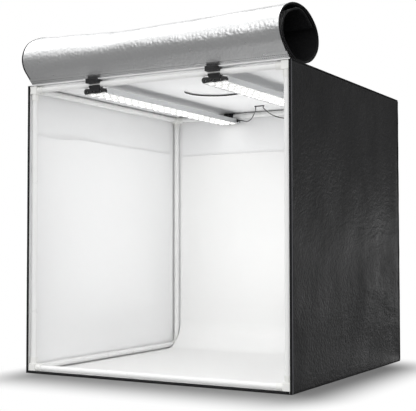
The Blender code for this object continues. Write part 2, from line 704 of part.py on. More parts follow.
def lead_routes():
    """Each lead's own points, from its bar's boot to the roof gland."""
    left_boot = BAR_X["left"] + BAR_W / 2 + BOOT_LONG + GAP
    right_boot = BAR_X["right"] - BAR_W / 2 - BOOT_LONG - GAP
    boot_y = BAR_END - BOOT_FROM_END
    boot_z = BAR_TOP - BOOT_DOWN
    under = ROOF_UNDER - GAP - GLAND_T - GAP
    left = [
        (left_boot, boot_y, boot_z), (left_boot + LEAD_STUB, boot_y, boot_z), (-0.084, 0.2745, 0.5735),
        (-0.071, 0.2660, 0.5712), (-0.056, 0.2530, 0.5728), (-0.042, 0.2385, 0.5785),
        (-0.029, 0.2220, 0.5855),
        (-0.0205, 0.2095, 0.5903), (-0.018, GLAND_Y, under - LEAD_STUB), (-0.018, GLAND_Y, under),
    ]
    right = [
        (right_boot, boot_y, boot_z), (right_boot - LEAD_STUB, boot_y, boot_z), (0.086, 0.2735, 0.5722),
        (0.062, 0.2680, 0.5697), (0.038, 0.2600, 0.5703), (0.020, 0.2480, 0.5738), (0.009, 0.2330, 0.5795),
        (0.0035, 0.2160, 0.5873), (0.002, GLAND_Y, under - LEAD_STUB), (0.002, GLAND_Y, under),
    ]
    return {"left": left, "right": right}


def make_leads():
    for side, points in lead_routes().items():
        middle, total = smooth_route(points[1:-1], LEAD_D * 2.5)
        route = [Vector(points[0]), *middle, Vector(points[-1])]
        total += 2 * LEAD_STUB
        curve = bpy.data.curves.new(f"lead_{side}", "CURVE")
        curve.dimensions = "3D"
        curve.bevel_depth = LEAD_D / 2
        curve.bevel_resolution = 2
        curve.use_fill_caps = True
        spline = curve.splines.new("POLY")
        spline.points.add(len(route) - 1)
        for point, place in zip(spline.points, route):
            point.co = (*place, 1.0)
        made = bpy.data.objects.new(f"lead_{side}", curve)
        PARTS.objects.link(made)
        curve.materials.append(material(f"lead_{side}", "lead"))
        print(f"lead_{side}: {total * 1000:.0f} mm long, {len(route)} points")


def make_gland():
    """A moulded gland: a neck through the roof's slit between two flanges."""
    half_long, half_wide = SLIT_LONG / 2 - GAP, SLIT_WIDE / 2 - GAP
    low, high = ROOF_UNDER - GAP - GLAND_T, CUBE + GAP + GLAND_T
    centre = (GLAND_X, GLAND_Y, 0.0)
    neck = box_mesh("lead_gland", (-half_long, -half_wide, low), (half_long, half_wide, high))
    gland = piece("lead_gland", neck, "connector", centre)
    out_long, out_wide = half_long + GLAND_FLANGE, half_wide + GLAND_FLANGE
    for name, bottom, top in (("flange_under", low, low + GLAND_T), ("flange_over", high - GLAND_T, high)):
        outline = arc((out_long - out_wide, 0.0), out_wide, -90, 90, 6)
        outline += arc((out_wide - out_long, 0.0), out_wide, 90, 270, 6)
        mesh = prism_mesh(name, outline, bottom, top, lambda u, v, w: (u, v, w))
        boolean(gland, cutter(name, mesh, centre), "UNION")


# Backdrop and liners

def make_backdrop():
    """A sheet that hangs on the back wall, sweeps round and lies over the floor."""
    low = WALL + GAP
    outer, inner = SWEEP_R, SWEEP_R - SHEET_T
    centre = (BACKDROP_BACK - SWEEP_R, low + SWEEP_R)
    outline = [(SHEET_FRONT, low + SHEET_T), (SHEET_FRONT, low)]
    outline += arc(centre, outer, -90, 0, 14)
    outline += [(BACKDROP_BACK, BACKDROP_TOP), (BACKDROP_BACK - SHEET_T, BACKDROP_TOP)]
    outline += arc(centre, inner, 0, -90, 14)

    def across(u, v, w):
        return (w, u, v)

    mesh = prism_mesh("backdrop", outline, -BACKDROP_W / 2, BACKDROP_W / 2, across)
    piece("backdrop", mesh, "sheet", smooth=True)
    mesh = box_mesh(
        "backdrop_strip",
        (-BACKDROP_W / 2, STRIP_FACE, BACKDROP_TOP - STRIP_H),
        (BACKDROP_W / 2, STRIP_FACE + STRIP_T, BACKDROP_TOP),
    )
    piece("backdrop_strip", mesh, "hook_tape")


def make_liners():
    """Side sheets from above the bottom rail to the height of the backdrop, drooping near the front."""
    low = RAIL_LOW + CORE / 2 + GAP
    front, back = SHEET_FRONT, RAIL_BACK - CORE / 2 - GAP
    for name, sign in (("liner_left", -1), ("liner_right", 1)):
        inner = sign * (SIDE - WALL - GAP - SHEET_T)
        outer = sign * (SIDE - WALL - GAP)
        outline = [(back, low), (front, low)]
        for i in range(LINER_CELLS + 1):
            share = i / LINER_CELLS
            droop = LINER_DIP * math.sin(math.pi * min(1.0, share / LINER_DIP_SHARE)) * (1 - share)
            outline.append((front + (back - front) * share, LINER_TOP - droop))

        def across(u, v, w):
            return (w, u, v)

        piece(name, prism_mesh(name, outline, inner, outer, across), "silver")


clear_scene()
PARTS = collection("light_tent_cube")
CUTTERS = collection("cutters")
make_tubes()
make_connectors()
make_shell()
make_binding()
make_door()
make_hatch()
for bar_side, bar_centre in BAR_X.items():
    make_bar(bar_side, bar_centre)
make_leads()
make_gland()
make_backdrop()
make_liners()
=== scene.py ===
"""Looks of a folding light tent: its cloth, seams, rolled door, hatch, backdrop, light bars and
leads, built round the fixed model of its frame. Metres, +Z up, and the open front faces -Y."""

import json
import math

import bmesh
import bpy
from bpy.props import FloatProperty, FloatVectorProperty, IntProperty, PointerProperty
from mathutils import Matrix, Vector, noise


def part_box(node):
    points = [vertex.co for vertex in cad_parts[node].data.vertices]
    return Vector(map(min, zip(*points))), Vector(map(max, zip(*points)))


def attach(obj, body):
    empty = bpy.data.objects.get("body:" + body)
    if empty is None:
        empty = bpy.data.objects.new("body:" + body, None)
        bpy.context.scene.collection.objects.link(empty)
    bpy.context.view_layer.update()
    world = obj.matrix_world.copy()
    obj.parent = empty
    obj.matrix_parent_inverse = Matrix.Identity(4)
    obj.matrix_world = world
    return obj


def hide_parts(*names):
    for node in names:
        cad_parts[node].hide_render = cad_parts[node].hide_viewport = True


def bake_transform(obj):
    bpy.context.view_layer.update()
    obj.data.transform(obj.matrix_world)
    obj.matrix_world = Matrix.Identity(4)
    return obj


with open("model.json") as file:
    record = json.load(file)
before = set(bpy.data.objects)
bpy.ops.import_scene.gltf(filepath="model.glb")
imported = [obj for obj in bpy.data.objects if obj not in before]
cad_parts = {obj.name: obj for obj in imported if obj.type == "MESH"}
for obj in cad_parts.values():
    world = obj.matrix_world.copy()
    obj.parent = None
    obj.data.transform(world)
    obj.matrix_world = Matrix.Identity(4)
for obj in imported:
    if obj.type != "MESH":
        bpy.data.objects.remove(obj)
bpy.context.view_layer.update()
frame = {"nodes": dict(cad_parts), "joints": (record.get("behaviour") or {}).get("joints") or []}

bl_info = {
    "name": "Light Tent Cube",
    "version": (1, 0, 0),
    "blender": (4, 5, 0),
    "location": "3D View > Sidebar > Light Tent",
    "description": "Builds the cloth, seams, rolled door, hatch, light bars and stage of a light tent",
    "category": "Add Mesh",
}

# Sizes and places read from the frame
ROOF_LOW, ROOF_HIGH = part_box("roof_panel")
LEFT_LOW, LEFT_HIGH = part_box("left_wall")
BACK_LOW, BACK_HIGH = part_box("back_wall")
SIDE = ROOF_HIGH.x
FRONT = ROOF_LOW.y
BACK = ROOF_HIGH.y
CUBE = ROOF_HIGH.z
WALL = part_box("base_panel")[1].z
WALL_FRONT = LEFT_LOW.y
DOOR_HINGE = Vector(frame["joints"][0]["pos_m"])
FLAP_HINGE = Vector(frame["joints"][1]["pos_m"])

# Clearance between neighbours, how far thread stands off the cloth, and when two points are one
GAP = 0.0003
ON_CLOTH = 0.0001
SAME_POINT = 0.00001

# Directions that rows of stitches face
AHEAD = (0, -1, 0)
BEHIND = (0, 1, 0)
UP = (0, 0, 1)

# The rolled door, by the same rule as its solid
DOOR_T = 0.0024
DOOR_TRIM_T = 0.0032
DOOR_TRIM = 0.0045
DOOR_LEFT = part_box("door_trim_left")[0].x
DOOR_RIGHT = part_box("door_trim_right")[1].x
ROLL_DEEP = 0.178
ROLL_HIGH = 0.108
ROLL_FRONT = 0.041
ROLL_SAG = 0.008
ROLL_PRESS = 0.0015
ROLL_SKEW = 0.014
ROLL_END = FRONT - ROLL_FRONT + ROLL_DEEP + ROLL_SKEW
LEAD_IN = 0.014
ROLL_START_DEG = 215.0
ROLL_TURN_DEG = 540.0
ROLL_SKEW_SHARE = 0.17
ROLL_INSET_SHARES = (
    (0.00, 0.000), (0.57, 0.000), (0.66, 0.070), (0.75, 0.125),
    (0.83, 0.125), (0.90, 0.085), (1.00, 0.170),
)

# Hatch
HATCH_D = 0.130
RING_LOW, RING_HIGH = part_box("hatch_ring")
HATCH_CENTRE = Vector((0.0, (RING_LOW.y + RING_HIGH.y) / 2, 0.0))
FLAP_LOW, FLAP_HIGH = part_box("hatch_flap")
TAPE_LOW, TAPE_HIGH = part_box("hatch_tape")

# The backdrop and the liners
SHEET_T = 0.0008

# The LEDs: their lens, and the distance from one to the next across a board
LENS_LONG = 0.0082
LENS_WIDE = 0.0044
LENS_SPREAD = 0.0155
LED_WHITE = (1.0, 0.995, 0.985, 1.0)
LENS_RESIN = (0.97, 0.965, 0.93)

# Leads: each one's own points, from its light bar's boot to the gland in the roof
LEAD_D = 0.0022
LEAD_POINTS = {
    "left": [
        (-0.0972, 0.2781, 0.5762), (-0.0937, 0.2781, 0.5762), (-0.084, 0.2745, 0.5735),
        (-0.071, 0.2660, 0.5712), (-0.056, 0.2530, 0.5728), (-0.042, 0.2385, 0.5785),
        (-0.029, 0.2220, 0.5855), (-0.0205, 0.2095, 0.5903), (-0.018, 0.205, 0.5925),
        (-0.018, 0.205, 0.5960),
    ],
    "right": [
        (0.1062, 0.2781, 0.5762), (0.1027, 0.2781, 0.5762), (0.086, 0.2735, 0.5722),
        (0.062, 0.2680, 0.5697), (0.038, 0.2600, 0.5703), (0.020, 0.2480, 0.5738),
        (0.009, 0.2330, 0.5795), (0.0035, 0.2160, 0.5873), (0.002, 0.205, 0.5925),
        (0.002, 0.205, 0.5960),
    ],
}


def colour_setting(name, description, default):
    return FloatVectorProperty(
        name=name, description=description, default=default, subtype="COLOR", size=3, min=0.0, max=1.0
    )


def length_setting(name, description, default):
    return FloatProperty(
        name=name, description=description, default=default, min=0.0, precision=5,
        unit="LENGTH", subtype="DISTANCE",
    )


def level_setting(name, description, default):
    return FloatProperty(name=name, description=description, default=default, min=0.0)


def power_setting(name, description, default):
    return FloatProperty(name=name, description=description, default=default, min=0.0, unit="POWER")


def place_setting(name, description, default):
    return FloatVectorProperty(
        name=name, description=description, default=default, size=3, unit="LENGTH", subtype="TRANSLATION"
    )


class TentClothSettings(bpy.types.PropertyGroup):
    """Sizes and colours of the tent's cloth, tapes and thread."""
    nylon: colour_setting("Nylon", "Colour of the black outer cloth", (0.0138, 0.0138, 0.0146))
    silver: colour_setting("Silver film", "Colour of the embossed film on the door", (0.88, 0.885, 0.89))
    inside: colour_setting("Inside film", "Colour of the bright film inside the tent", (0.91, 0.912, 0.915))
    binding: colour_setting("Binding", "Colour of the woven edge tape", (0.010, 0.010, 0.011))
    backdrop: colour_setting("Backdrop", "Colour of the sweep backdrop", (0.89, 0.89, 0.885))
    hook: colour_setting("Hook tape", "Colour of the hook-and-loop tape", (0.80, 0.80, 0.79))
    crumple: length_setting("Crumple", "Greatest lift of the creases in the outer cloth", 0.0036)
    cell: length_setting("Cell", "Distance between two points of a panel's mesh", 0.0055)
    piping: length_setting("Piping", "Thickness of the piping along the cube's edges", 0.0026)
    stitch_pitch: length_setting("Stitch pitch", "Distance from one stitch to the next", 0.0042)
    stitch_long: length_setting("Stitch", "Length of one stitch", 0.0029)
    thread: length_setting("Thread", "Thickness of the sewing thread", 0.0007)
    door_wave: length_setting("Door wave", "How far the rolled door swells and dents", 0.0022)


class TentFrameSettings(bpy.types.PropertyGroup):
    """Colours and edge rounding of the tubes, connectors, light bars and clips."""
    tube: colour_setting("Tube", "Colour of the coated tubes", (0.86, 0.86, 0.855))
    connector: colour_setting("Connector", "Colour of the corner connectors", (0.82, 0.82, 0.80))
    clip: colour_setting("Clip", "Colour of the light bars' clips", (0.016, 0.016, 0.017))
    housing: colour_setting("Housing", "Colour of the light bars' channels", (0.72, 0.73, 0.74))
    board: colour_setting("Board", "Colour of the LED boards", (0.90, 0.90, 0.88))
    lead: colour_setting("Lead", "Colour of the leads and boots", (0.030, 0.030, 0.031))
    edge: length_setting("Edge rounding", "Rounding of the moulded parts' edges", 0.00025)
    gland_edge: length_setting("Gland rounding", "Rounding of the edges of the leads' gland", 0.0002)
    lens_rise: length_setting("Lens rise", "How far an LED's lens stands below its chip", 0.00035)
    glow: level_setting("Glow", "How bright the LEDs' lenses look", 4.0)
    # Painted glow: the LED board gives off light of its own, although it is no lamp.
    board_painted_glow: level_setting("Board glow", "Light of the LEDs that their board's lacquer carries", 0.1)
    bar_power: power_setting("Bar light", "Light that one bar sheds into the tent", 0.125)
    lens_rows: IntProperty(name="LED rows", description="Rows of LEDs along a light bar", default=22, min=1)


class TentStageSettings(bpy.types.PropertyGroup):
    """The studio: floor, background, lamps and camera."""
    # The floor's dark paint shows only near the tent, as painted shadow; further off the floor is plain
    # white.
    floor: colour_setting("Floor", "Colour of the studio floor", (0.185, 0.185, 0.185))
    floor_lift: level_setting("Floor lift", "Light that the floor's own white adds to its picture", 0.06)
    # Painted shadow: within this box and its fade the floor shows its dark paint, so it is grey round the
    # tent even where no shadow falls.
    shadow_place: place_setting(
        "Shadow place", "Centre of the part of the floor that keeps the tent's shadow", (0.032, -0.08, 0.0)
    )
    shadow_half: place_setting("Shadow size", "Half the size of that part", (0.272, 0.205, 1.0))
    shadow_fade: place_setting(
        "Shadow fade", "How far beyond that part the shadow fades to white", (0.14, 0.24, 1.0)
    )
    ambient: level_setting("Ambient", "Level of the light from all round", 1.15)
    flag_level: level_setting("Flags", "Level of the dim flags in reflections", 0.22)
    key_power: power_setting("Key lamp", "Power of the lamp overhead", 24.0)
    fill_power: power_setting("Fill lamp", "Power of the high lamp in front of the tent", 12.0)
    front_power: power_setting(
        "Front lamp", "Power of the low lamp that lights the tent's upper inside", 13.0
    )
    bounce_power: power_setting(
        "Bounce", "Power of the light that comes back up from the tent's floor", 0.65
    )
    rim_power: power_setting(
        "Rim lamp", "Power of the lamp behind the tent that brings out its side wall's relief", 2.0
    )
    camera_place: place_setting("Camera", "Place of the camera", (1.0225, -1.9002, 0.2625))
    camera_turn: FloatVectorProperty(
        name="Camera angle", description="Turn of the camera about X, Y and Z", size=3,
        subtype="EULER", unit="ROTATION", default=(math.radians(92.445), 0.0, math.radians(30.598)),
    )
    camera_shift: FloatVectorProperty(
        name="Camera shift", description="Shift of the picture, as a share of its width", size=2,
        default=(0.0619, -0.0032),
    )
    lens: FloatProperty(
        name="Lens", description="Focal length in millimetres", default=85.0, min=10.0, unit="CAMERA"
    )


# Materials

class Nodes:
    """A node tree that is built a node at a time."""

    def __init__(self, owner, empty=True):
        owner.use_nodes = True
        self.tree = owner.node_tree
        if empty:
            self.tree.nodes.clear()

    def add(self, kind, settings=None, **inputs):
        """Adds a node. Its inputs are values or other nodes' outputs."""
        node = self.tree.nodes.new(kind)
        for key, value in (settings or {}).items():
            setattr(node, key, value)
        for key, value in inputs.items():
            self.feed(node.inputs[key.replace("_", " ")], value)
        return node

    def feed(self, socket, value):
        if isinstance(value, bpy.types.NodeSocket):
            self.tree.links.new(value, socket)
        else:
            socket.default_value = value

    def feed_all(self, node, *values):
        for socket, value in zip(node.inputs, values):
            self.feed(socket, value)
        return node.outputs

    def number(self, operation, *values):
        return self.feed_all(self.add("ShaderNodeMath", {"operation": operation}), *values)[0]

    def vector(self, operation, *values):
        return self.feed_all(self.add("ShaderNodeVectorMath", {"operation": operation}), *values)

    def between(self, value, low, high, start, end, interpolation="LINEAR"):
        """Carries a value from one range to another, held at both ends."""
        node = self.add("ShaderNodeMapRange", {"interpolation_type": interpolation}, Value=value)
        for key, level in (("From Min", low), ("From Max", high), ("To Min", start), ("To Max", end)):
            node.inputs[key].default_value = level
        return node.outputs[0]

    def mix(self, fac, first, second):
        return self.feed_all(self.add("ShaderNodeMixShader"), fac, first, second)[0]


class Finish(Nodes):
    """A material of one surface shader, with layers of colour, gloss and relief."""

    def __init__(self, name, colour, roughness, **sockets):
        self.material = bpy.data.materials.new(name)
        super().__init__(self.material, empty=False)
        self.shader = self.tree.nodes["Principled BSDF"]
        self.colour = tuple(colour)
        self.shader.inputs["Base Color"].default_value = (*colour, 1.0)
        self.shader.inputs["Roughness"].default_value = roughness
        for socket, value in sockets.items():
            self.shader.inputs[socket.replace("_", " ")].default_value = value
        self.material.diffuse_color = (*colour, 1.0)
        self.normal = None
        self.place = self.add("ShaderNodeTexCoord").outputs["Object"]

    def scaled(self, scale):
        """The piece's own coordinates, stretched along each axis."""
        node = self.add("ShaderNodeMapping", Vector=self.place)
        node.inputs["Scale"].default_value = scale
        return node.outputs[0]

    def grain(self, scale, detail=2.0, roughness=0.5, vector=None):
        node = self.add("ShaderNodeTexNoise", Scale=scale, Detail=detail, Roughness=roughness)
        self.feed(node.inputs["Vector"], vector or self.place)
        return node.outputs["Fac"]

    def pebbles(self, scale, warp=0.0, smoothness=0.4):
        """Rounded cells, as embossed film has; 1 on a cell's crown and 0 in the grooves."""
        vector = self.place
        if warp:
            bend = self.add("ShaderNodeTexNoise", Scale=scale / 3, Detail=1.0, Vector=self.place)
            shifted = self.add("ShaderNodeMixRGB", {"blend_type": "LINEAR_LIGHT"})
            vector = self.feed_all(shifted, warp / scale, self.place, bend.outputs["Color"])[0]
        node = self.add("ShaderNodeTexVoronoi", {"feature": "SMOOTH_F1"}, Scale=scale, Smoothness=smoothness)
        self.feed(node.inputs["Vector"], vector)
        return self.number("SUBTRACT", 1.0, node.outputs["Distance"])

    def threads(self, pitch):
        """A plain weave, seen square on along any of the three axes."""
        split = self.add("ShaderNodeSeparateXYZ", Vector=self.place)
        waves = [
            self.number("SINE", self.number("MULTIPLY", axis, 2 * math.pi / pitch)) for axis in split.outputs
        ]
        return self.number("ADD", self.number("ADD", waves[0], waves[1]), waves[2])

    def bump(self, height, distance, strength=1.0):
        """Adds a layer of relief, in metres."""
        node = self.add("ShaderNodeBump", Height=height, Distance=distance, Strength=strength)
        if self.normal is not None:
            self.feed(node.inputs["Normal"], self.normal)
        self.normal = node.outputs[0]
        self.tree.links.new(self.normal, self.shader.inputs["Normal"])

    def shade(self, fac, dark, light):
        """Varies the base colour between two levels of itself."""
        levels = [(*(min(1.0, c * level) for c in self.colour), 1.0) for level in (dark, light)]
        mixed = self.feed_all(self.add("ShaderNodeMixRGB"), fac, *levels)[0]
        self.tree.links.new(mixed, self.shader.inputs["Base Color"])

    def rough(self, fac, low, high):
        self.tree.links.new(self.between(fac, 0.3, 0.7, low, high), self.shader.inputs["Roughness"])

    def glow(self, colour, strength):
        self.shader.inputs["Emission Color"].default_value = colour
        self.shader.inputs["Emission Strength"].default_value = strength


MATERIALS = {}


def nylon_finish(colour):
    """Black coated nylon: fine weave, the film's emboss showing through, polished patches in its roughness,
    and patches of painted sheen in its colour.
    """
    made = Finish("black nylon", colour, 0.48, Specular_IOR_Level=0.24)
    painted_sheen_patches = made.grain(5.0, 3.0, 0.55)
    # Painted sheen: random patches of lighter and darker base colour stand in for the cloth's sheen.
    made.shade(painted_sheen_patches, 0.7, 1.4)
    made.rough(made.grain(7.0, 4.0, 0.6, made.scaled((1.0, 1.3, 0.8))), 0.38, 0.58)
    made.bump(made.pebbles(190.0, 0.8), 0.0007, 1.0)
    made.bump(made.grain(120.0, 3.0, 0.6, made.scaled((0.45, 0.45, 1.0))), 0.0018, 0.8)
    made.bump(made.threads(0.0006), 0.00003, 0.5)
    return made.material


def silver_finish(colour):
    """Embossed silver film: soft metal with rounded cells about 3 mm across."""
    made = Finish("embossed silver", colour, 0.30, Metallic=0.92, Specular_IOR_Level=0.5)
    made.shade(made.grain(16.0, 3.0, 0.6), 0.93, 1.03)
    made.rough(made.grain(40.0, 3.0, 0.6), 0.27, 0.36)
    made.bump(made.pebbles(150.0, 0.8, 0.4), 0.00048, 1.0)
    made.bump(made.grain(18.0, 3.0, 0.5), 0.0006, 0.5)
    return made.material


def inside_finish(colour):
    """The film that lines the tent, bright and less shiny, with its emboss pressed flat."""
    made = Finish("inside film", colour, 0.5, Metallic=0.1, Specular_IOR_Level=0.35)
    made.shade(made.grain(6.0, 2.0, 0.5), 0.985, 1.01)
    made.bump(made.pebbles(330.0, 0.8, 0.5), 0.00016, 0.8)
    made.bump(made.grain(9.0, 2.0, 0.5), 0.0022, 0.5)
    return made.material


def binding_finish(colour):
    """Woven tape with fine ribs."""
    made = Finish("woven binding", colour, 0.75, Specular_IOR_Level=0.2)
    made.shade(made.grain(90.0, 3.0, 0.6), 0.7, 1.7)
    made.bump(made.threads(0.0009), 0.00012, 0.8)
    made.bump(made.grain(220.0, 2.0, 0.5), 0.0003, 0.5)
    return made.material


def rib_finish(colour):
    """Painted highlight: a lighter strip of the tape's colour along the outer leg of the side bindings, where
    the fold catches light.
    """
    # Painted highlight: the tape's colour made eleven times lighter.
    made = Finish("binding rib", [c * 11 for c in colour], 0.5, Specular_IOR_Level=0.3)
    made.shade(made.grain(60.0, 3.0, 0.6), 0.75, 1.25)
    made.bump(made.threads(0.0009), 0.0001, 0.8)
    return made.material


def thread_finish(colour):
    made = Finish("sewing thread", [c * 1.8 for c in colour], 0.6, Sheen_Weight=0.2)
    made.shade(made.grain(900.0, 1.0), 0.7, 1.4)
    made.bump(made.grain(2600.0, 1.0), 0.0001, 0.6)
    return made.material


def sheet_finish(colour):
    """Matt white sheet with a faint cloth grain and soft marks from folding."""
    made = Finish("matt sheet", colour, 0.62, Specular_IOR_Level=0.3)
    made.shade(made.grain(4.0, 2.0, 0.5), 0.985, 1.01)
    made.bump(made.grain(1100.0, 2.0, 0.6), 0.00008, 0.5)
    made.bump(made.grain(7.0, 2.0, 0.5), 0.0015, 0.4)
    return made.material


def hook_finish(colour):
    """Hook-and-loop tape: dense little hooks on a woven ground, with painted shade in the grooves between
    them.
    """
    made = Finish("hook tape", colour, 0.9, Sheen_Weight=0.25, Specular_IOR_Level=0.2)
    # Painted shade: the base colour is darker in the grooves between the cells that make the hooks' relief.
    made.shade(made.pebbles(1100.0), 0.72, 1.08)
    made.bump(made.pebbles(1100.0), 0.0006, 0.9)
    made.bump(made.grain(300.0, 3.0), 0.0004, 0.5)
    return made.material


def tube_finish(colour):
    """White baked coating with a faint orange-peel skin."""
    made = Finish("coated tube", colour, 0.32, Specular_IOR_Level=0.5, Coat_Weight=0.15, Coat_Roughness=0.2)
    made.shade(made.grain(22.0, 3.0, 0.6), 0.97, 1.01)
    made.rough(made.grain(60.0, 3.0, 0.6), 0.26, 0.40)
    made.bump(made.grain(700.0, 1.0), 0.00005, 0.5)
    return made.material


def connector_finish(colour):
    """White moulded plastic with a fine spark-eroded grain."""
    made = Finish("white plastic", colour, 0.42, Specular_IOR_Level=0.45)
    made.shade(made.grain(45.0, 2.0), 0.97, 1.01)
    made.rough(made.grain(130.0, 3.0), 0.38, 0.50)
    made.bump(made.grain(2400.0, 2.0), 0.00005, 0.6)
    return made.material


def clip_finish(colour):
    """Black moulded plastic, a little polished where fingers rub it."""
    made = Finish("black plastic", colour, 0.45, Specular_IOR_Level=0.5)
    made.shade(made.grain(120.0, 3.0, 0.6), 0.8, 1.6)
    made.rough(made.grain(90.0, 2.0), 0.36, 0.58)
    made.bump(made.grain(2200.0, 2.0), 0.00006, 0.7)
    return made.material


def housing_finish(colour):
    """Anodised aluminium with drawing lines along its length."""
    made = Finish("drawn aluminium", colour, 0.36, Metallic=0.9)
    lines = made.grain(1.0, 3.0, 0.6, made.scaled((1800.0, 6.0, 1800.0)))
    made.shade(made.grain(14.0, 2.0), 0.95, 1.03)
    made.rough(lines, 0.30, 0.46)
    made.bump(lines, 0.00004, 0.6)
    return made.material


def board_finish(colour, glow):
    """White lacquered board with a trace pattern just under the lacquer, and a painted glow: the board gives
    off light although it is no lamp.
    """
    made = Finish("white board", colour, 0.35, Specular_IOR_Level=0.45, Coat_Weight=0.2, Coat_Roughness=0.15)
    track_gap, track_row = 0.0002, 0.0263
    tracks = made.add(
        "ShaderNodeTexBrick", Vector=made.place, Scale=1.0, Mortar_Size=track_gap, Brick_Width=LENS_SPREAD,
        Row_Height=track_row,
    ).outputs["Fac"]
    made.shade(tracks, 1.0, 0.9)
    made.bump(tracks, 0.00004, 0.6)
    # Painted glow: the board emits light although it is no lamp.
    made.glow(LED_WHITE, glow)
    return made.material


def lens_finish(glow):
    """The LEDs' milky lenses, lit."""
    made = Finish("LED lens", LENS_RESIN, 0.3)
    made.glow(LED_WHITE, glow)
    made.shade(made.grain(1500.0, 1.0), 0.97, 1.0)
    made.bump(made.grain(1800.0, 1.0), 0.00004, 0.5)
    return made.material


def lead_finish(colour):
    """Black flexible plastic, slightly dusty."""
    made = Finish("black lead", colour, 0.48, Specular_IOR_Level=0.45)
    made.shade(made.grain(150.0, 3.0, 0.6), 0.8, 1.35)
    made.rough(made.grain(300.0, 2.0), 0.42, 0.58)
    made.bump(made.grain(900.0, 2.0), 0.00006, 0.6)
    return made.material


def boot_finish(colour):
    made = Finish("black rubber", [c * 0.8 for c in colour], 0.68, Specular_IOR_Level=0.35)
    made.shade(made.grain(260.0, 3.0, 0.6), 0.75, 1.5)
    made.bump(made.grain(1400.0, 2.0), 0.00008, 0.7)
    return made.material


def make_materials(scene):
    cloth, metal = scene.tent_cloth, scene.tent_frame
    MATERIALS.update(
        nylon=nylon_finish(cloth.nylon),
        silver=silver_finish(cloth.silver),
        inside=inside_finish(cloth.inside),
        binding=binding_finish(cloth.binding),
        rib=rib_finish(cloth.binding),
        thread=thread_finish(cloth.binding),
        sheet=sheet_finish(cloth.backdrop),
        hook=hook_finish(cloth.hook),
        tube=tube_finish(metal.tube),
        connector=connector_finish(metal.connector),
        clip=clip_finish(metal.clip),
        housing=housing_finish(metal.housing),
        board=board_finish(metal.board, metal.board_painted_glow),
        lens=lens_finish(metal.glow),
        lead=lead_finish(metal.lead),
        boot=boot_finish(metal.lead),
    )


# Mesh helpers

def eased(share):
    """0 to 1, starting and ending gently."""
    share = min(1.0, max(0.0, share))
    return share * share * (3 - 2 * share)


def drift(x, y, seed):
    """Smooth noise about zero."""
    return noise.noise(Vector((x, y, seed)))


def ridges(point, scale, falloff, spacing, octaves):
    """Noise with sharp crests, as creases in coated cloth have."""
    offset, gain = 0.95, 1.8
    return noise.ridged_multi_fractal(point * scale, falloff, spacing, octaves, offset, gain)


def steps(low, high, cell):
    """Evenly spaced values from low to high, about a cell apart."""
    count = max(2, round((high - low) / cell))
    return [low + (high - low) * i / count for i in range(count + 1)]


def round_about(count):
    """The cosine and sine of evenly spaced angles, once round."""
    angles = [2 * math.pi * k / count for k in range(count)]
    return [(math.cos(angle), math.sin(angle)) for angle in angles]


def add_piece(name, points, faces, materials, body, stands_for=(), picks=None, smooth=True):
    """Makes a mesh piece, dresses it and lets it ride on its body, if it has one."""
    mesh = bpy.data.meshes.new(name)
    mesh.from_pydata([tuple(p) for p in points], [], faces)
    for key in materials:
        mesh.materials.append(MATERIALS[key])
    if picks is not None:
        mesh.polygons.foreach_set("material_index", picks)
    bm = bmesh.new()
    bm.from_mesh(mesh)
    bmesh.ops.recalc_face_normals(bm, faces=bm.faces)
    bm.to_mesh(mesh)
    bm.free()
    if smooth:
        mesh.shade_smooth()
        mesh.set_sharp_from_angle(angle=math.radians(50))
    made = bpy.data.objects.new(name, mesh)
    bpy.context.scene.collection.objects.link(made)
    if stands_for:
        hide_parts(*stands_for)
    if body is not None:
        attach(made, body)
    return made


def add_cloth(name, upper, lower, materials, body, stands_for=(), smooth=True):
    """A closed sheet between two like grids. It has one material, or one each for its upper face, its lower
    face and its rim."""
    rows, columns = len(upper), len(upper[0])
    points = [p for row in upper for p in row] + [p for row in lower for p in row]
    shift = rows * columns
    faces, picks = [], []

    def at(i, j):
        return i * columns + j

    for i in range(rows - 1):
        for j in range(columns - 1):
            face = (at(i, j), at(i, j + 1), at(i + 1, j + 1), at(i + 1, j))
            faces.append(face)
            faces.append(tuple(shift + k for k in reversed(face)))
            picks += [0, 1]
    border = [(0, j) for j in range(columns)] + [(i, columns - 1) for i in range(1, rows)]
    border += [(rows - 1, j) for j in range(columns - 2, -1, -1)] + [(i, 0) for i in range(rows - 2, 0, -1)]
    for (i0, j0), (i1, j1) in zip(border, border[1:] + border[:1]):
        faces.append((at(i0, j0), at(i1, j1), shift + at(i1, j1), shift + at(i0, j0)))
        picks.append(2)
    if len(materials) == 1:
        picks = None
    return add_piece(name, points, faces, materials, body, stands_for, picks, smooth)


def sweep(rings):
    """A closed skin through like rings, capped at both ends."""
    count = len(rings[0])
    points = [p for ring in rings for p in ring]
    faces = []
    for r in range(len(rings) - 1):
        for i in range(count):
            j = (i + 1) % count
            faces.append((r * count + i, r * count + j, (r + 1) * count + j, (r + 1) * count + i))
    faces.append(tuple(range(count)))
    faces.append(tuple((len(rings) - 1) * count + i for i in reversed(range(count))))
    return points, faces


def add_swept(name, rings, material, body, stands_for=()):
    points, faces = sweep(rings)
    return add_piece(name, points, faces, [material], body, stands_for)


def add_hoop(name, rings, material, body, stands_for=(), smooth=True):
    """A piece from like rings that go all the way round, the last joined to the first."""
    count = len(rings[0])
    points = [p for ring in rings for p in ring]
    faces = []
    for k in range(len(rings)):
        n = (k + 1) % len(rings)
        for i in range(count):
            j = (i + 1) % count
            faces.append((k * count + i, n * count + i, n * count + j, k * count + j))
    return add_piece(name, points, faces, [material], body, stands_for, smooth=smooth)


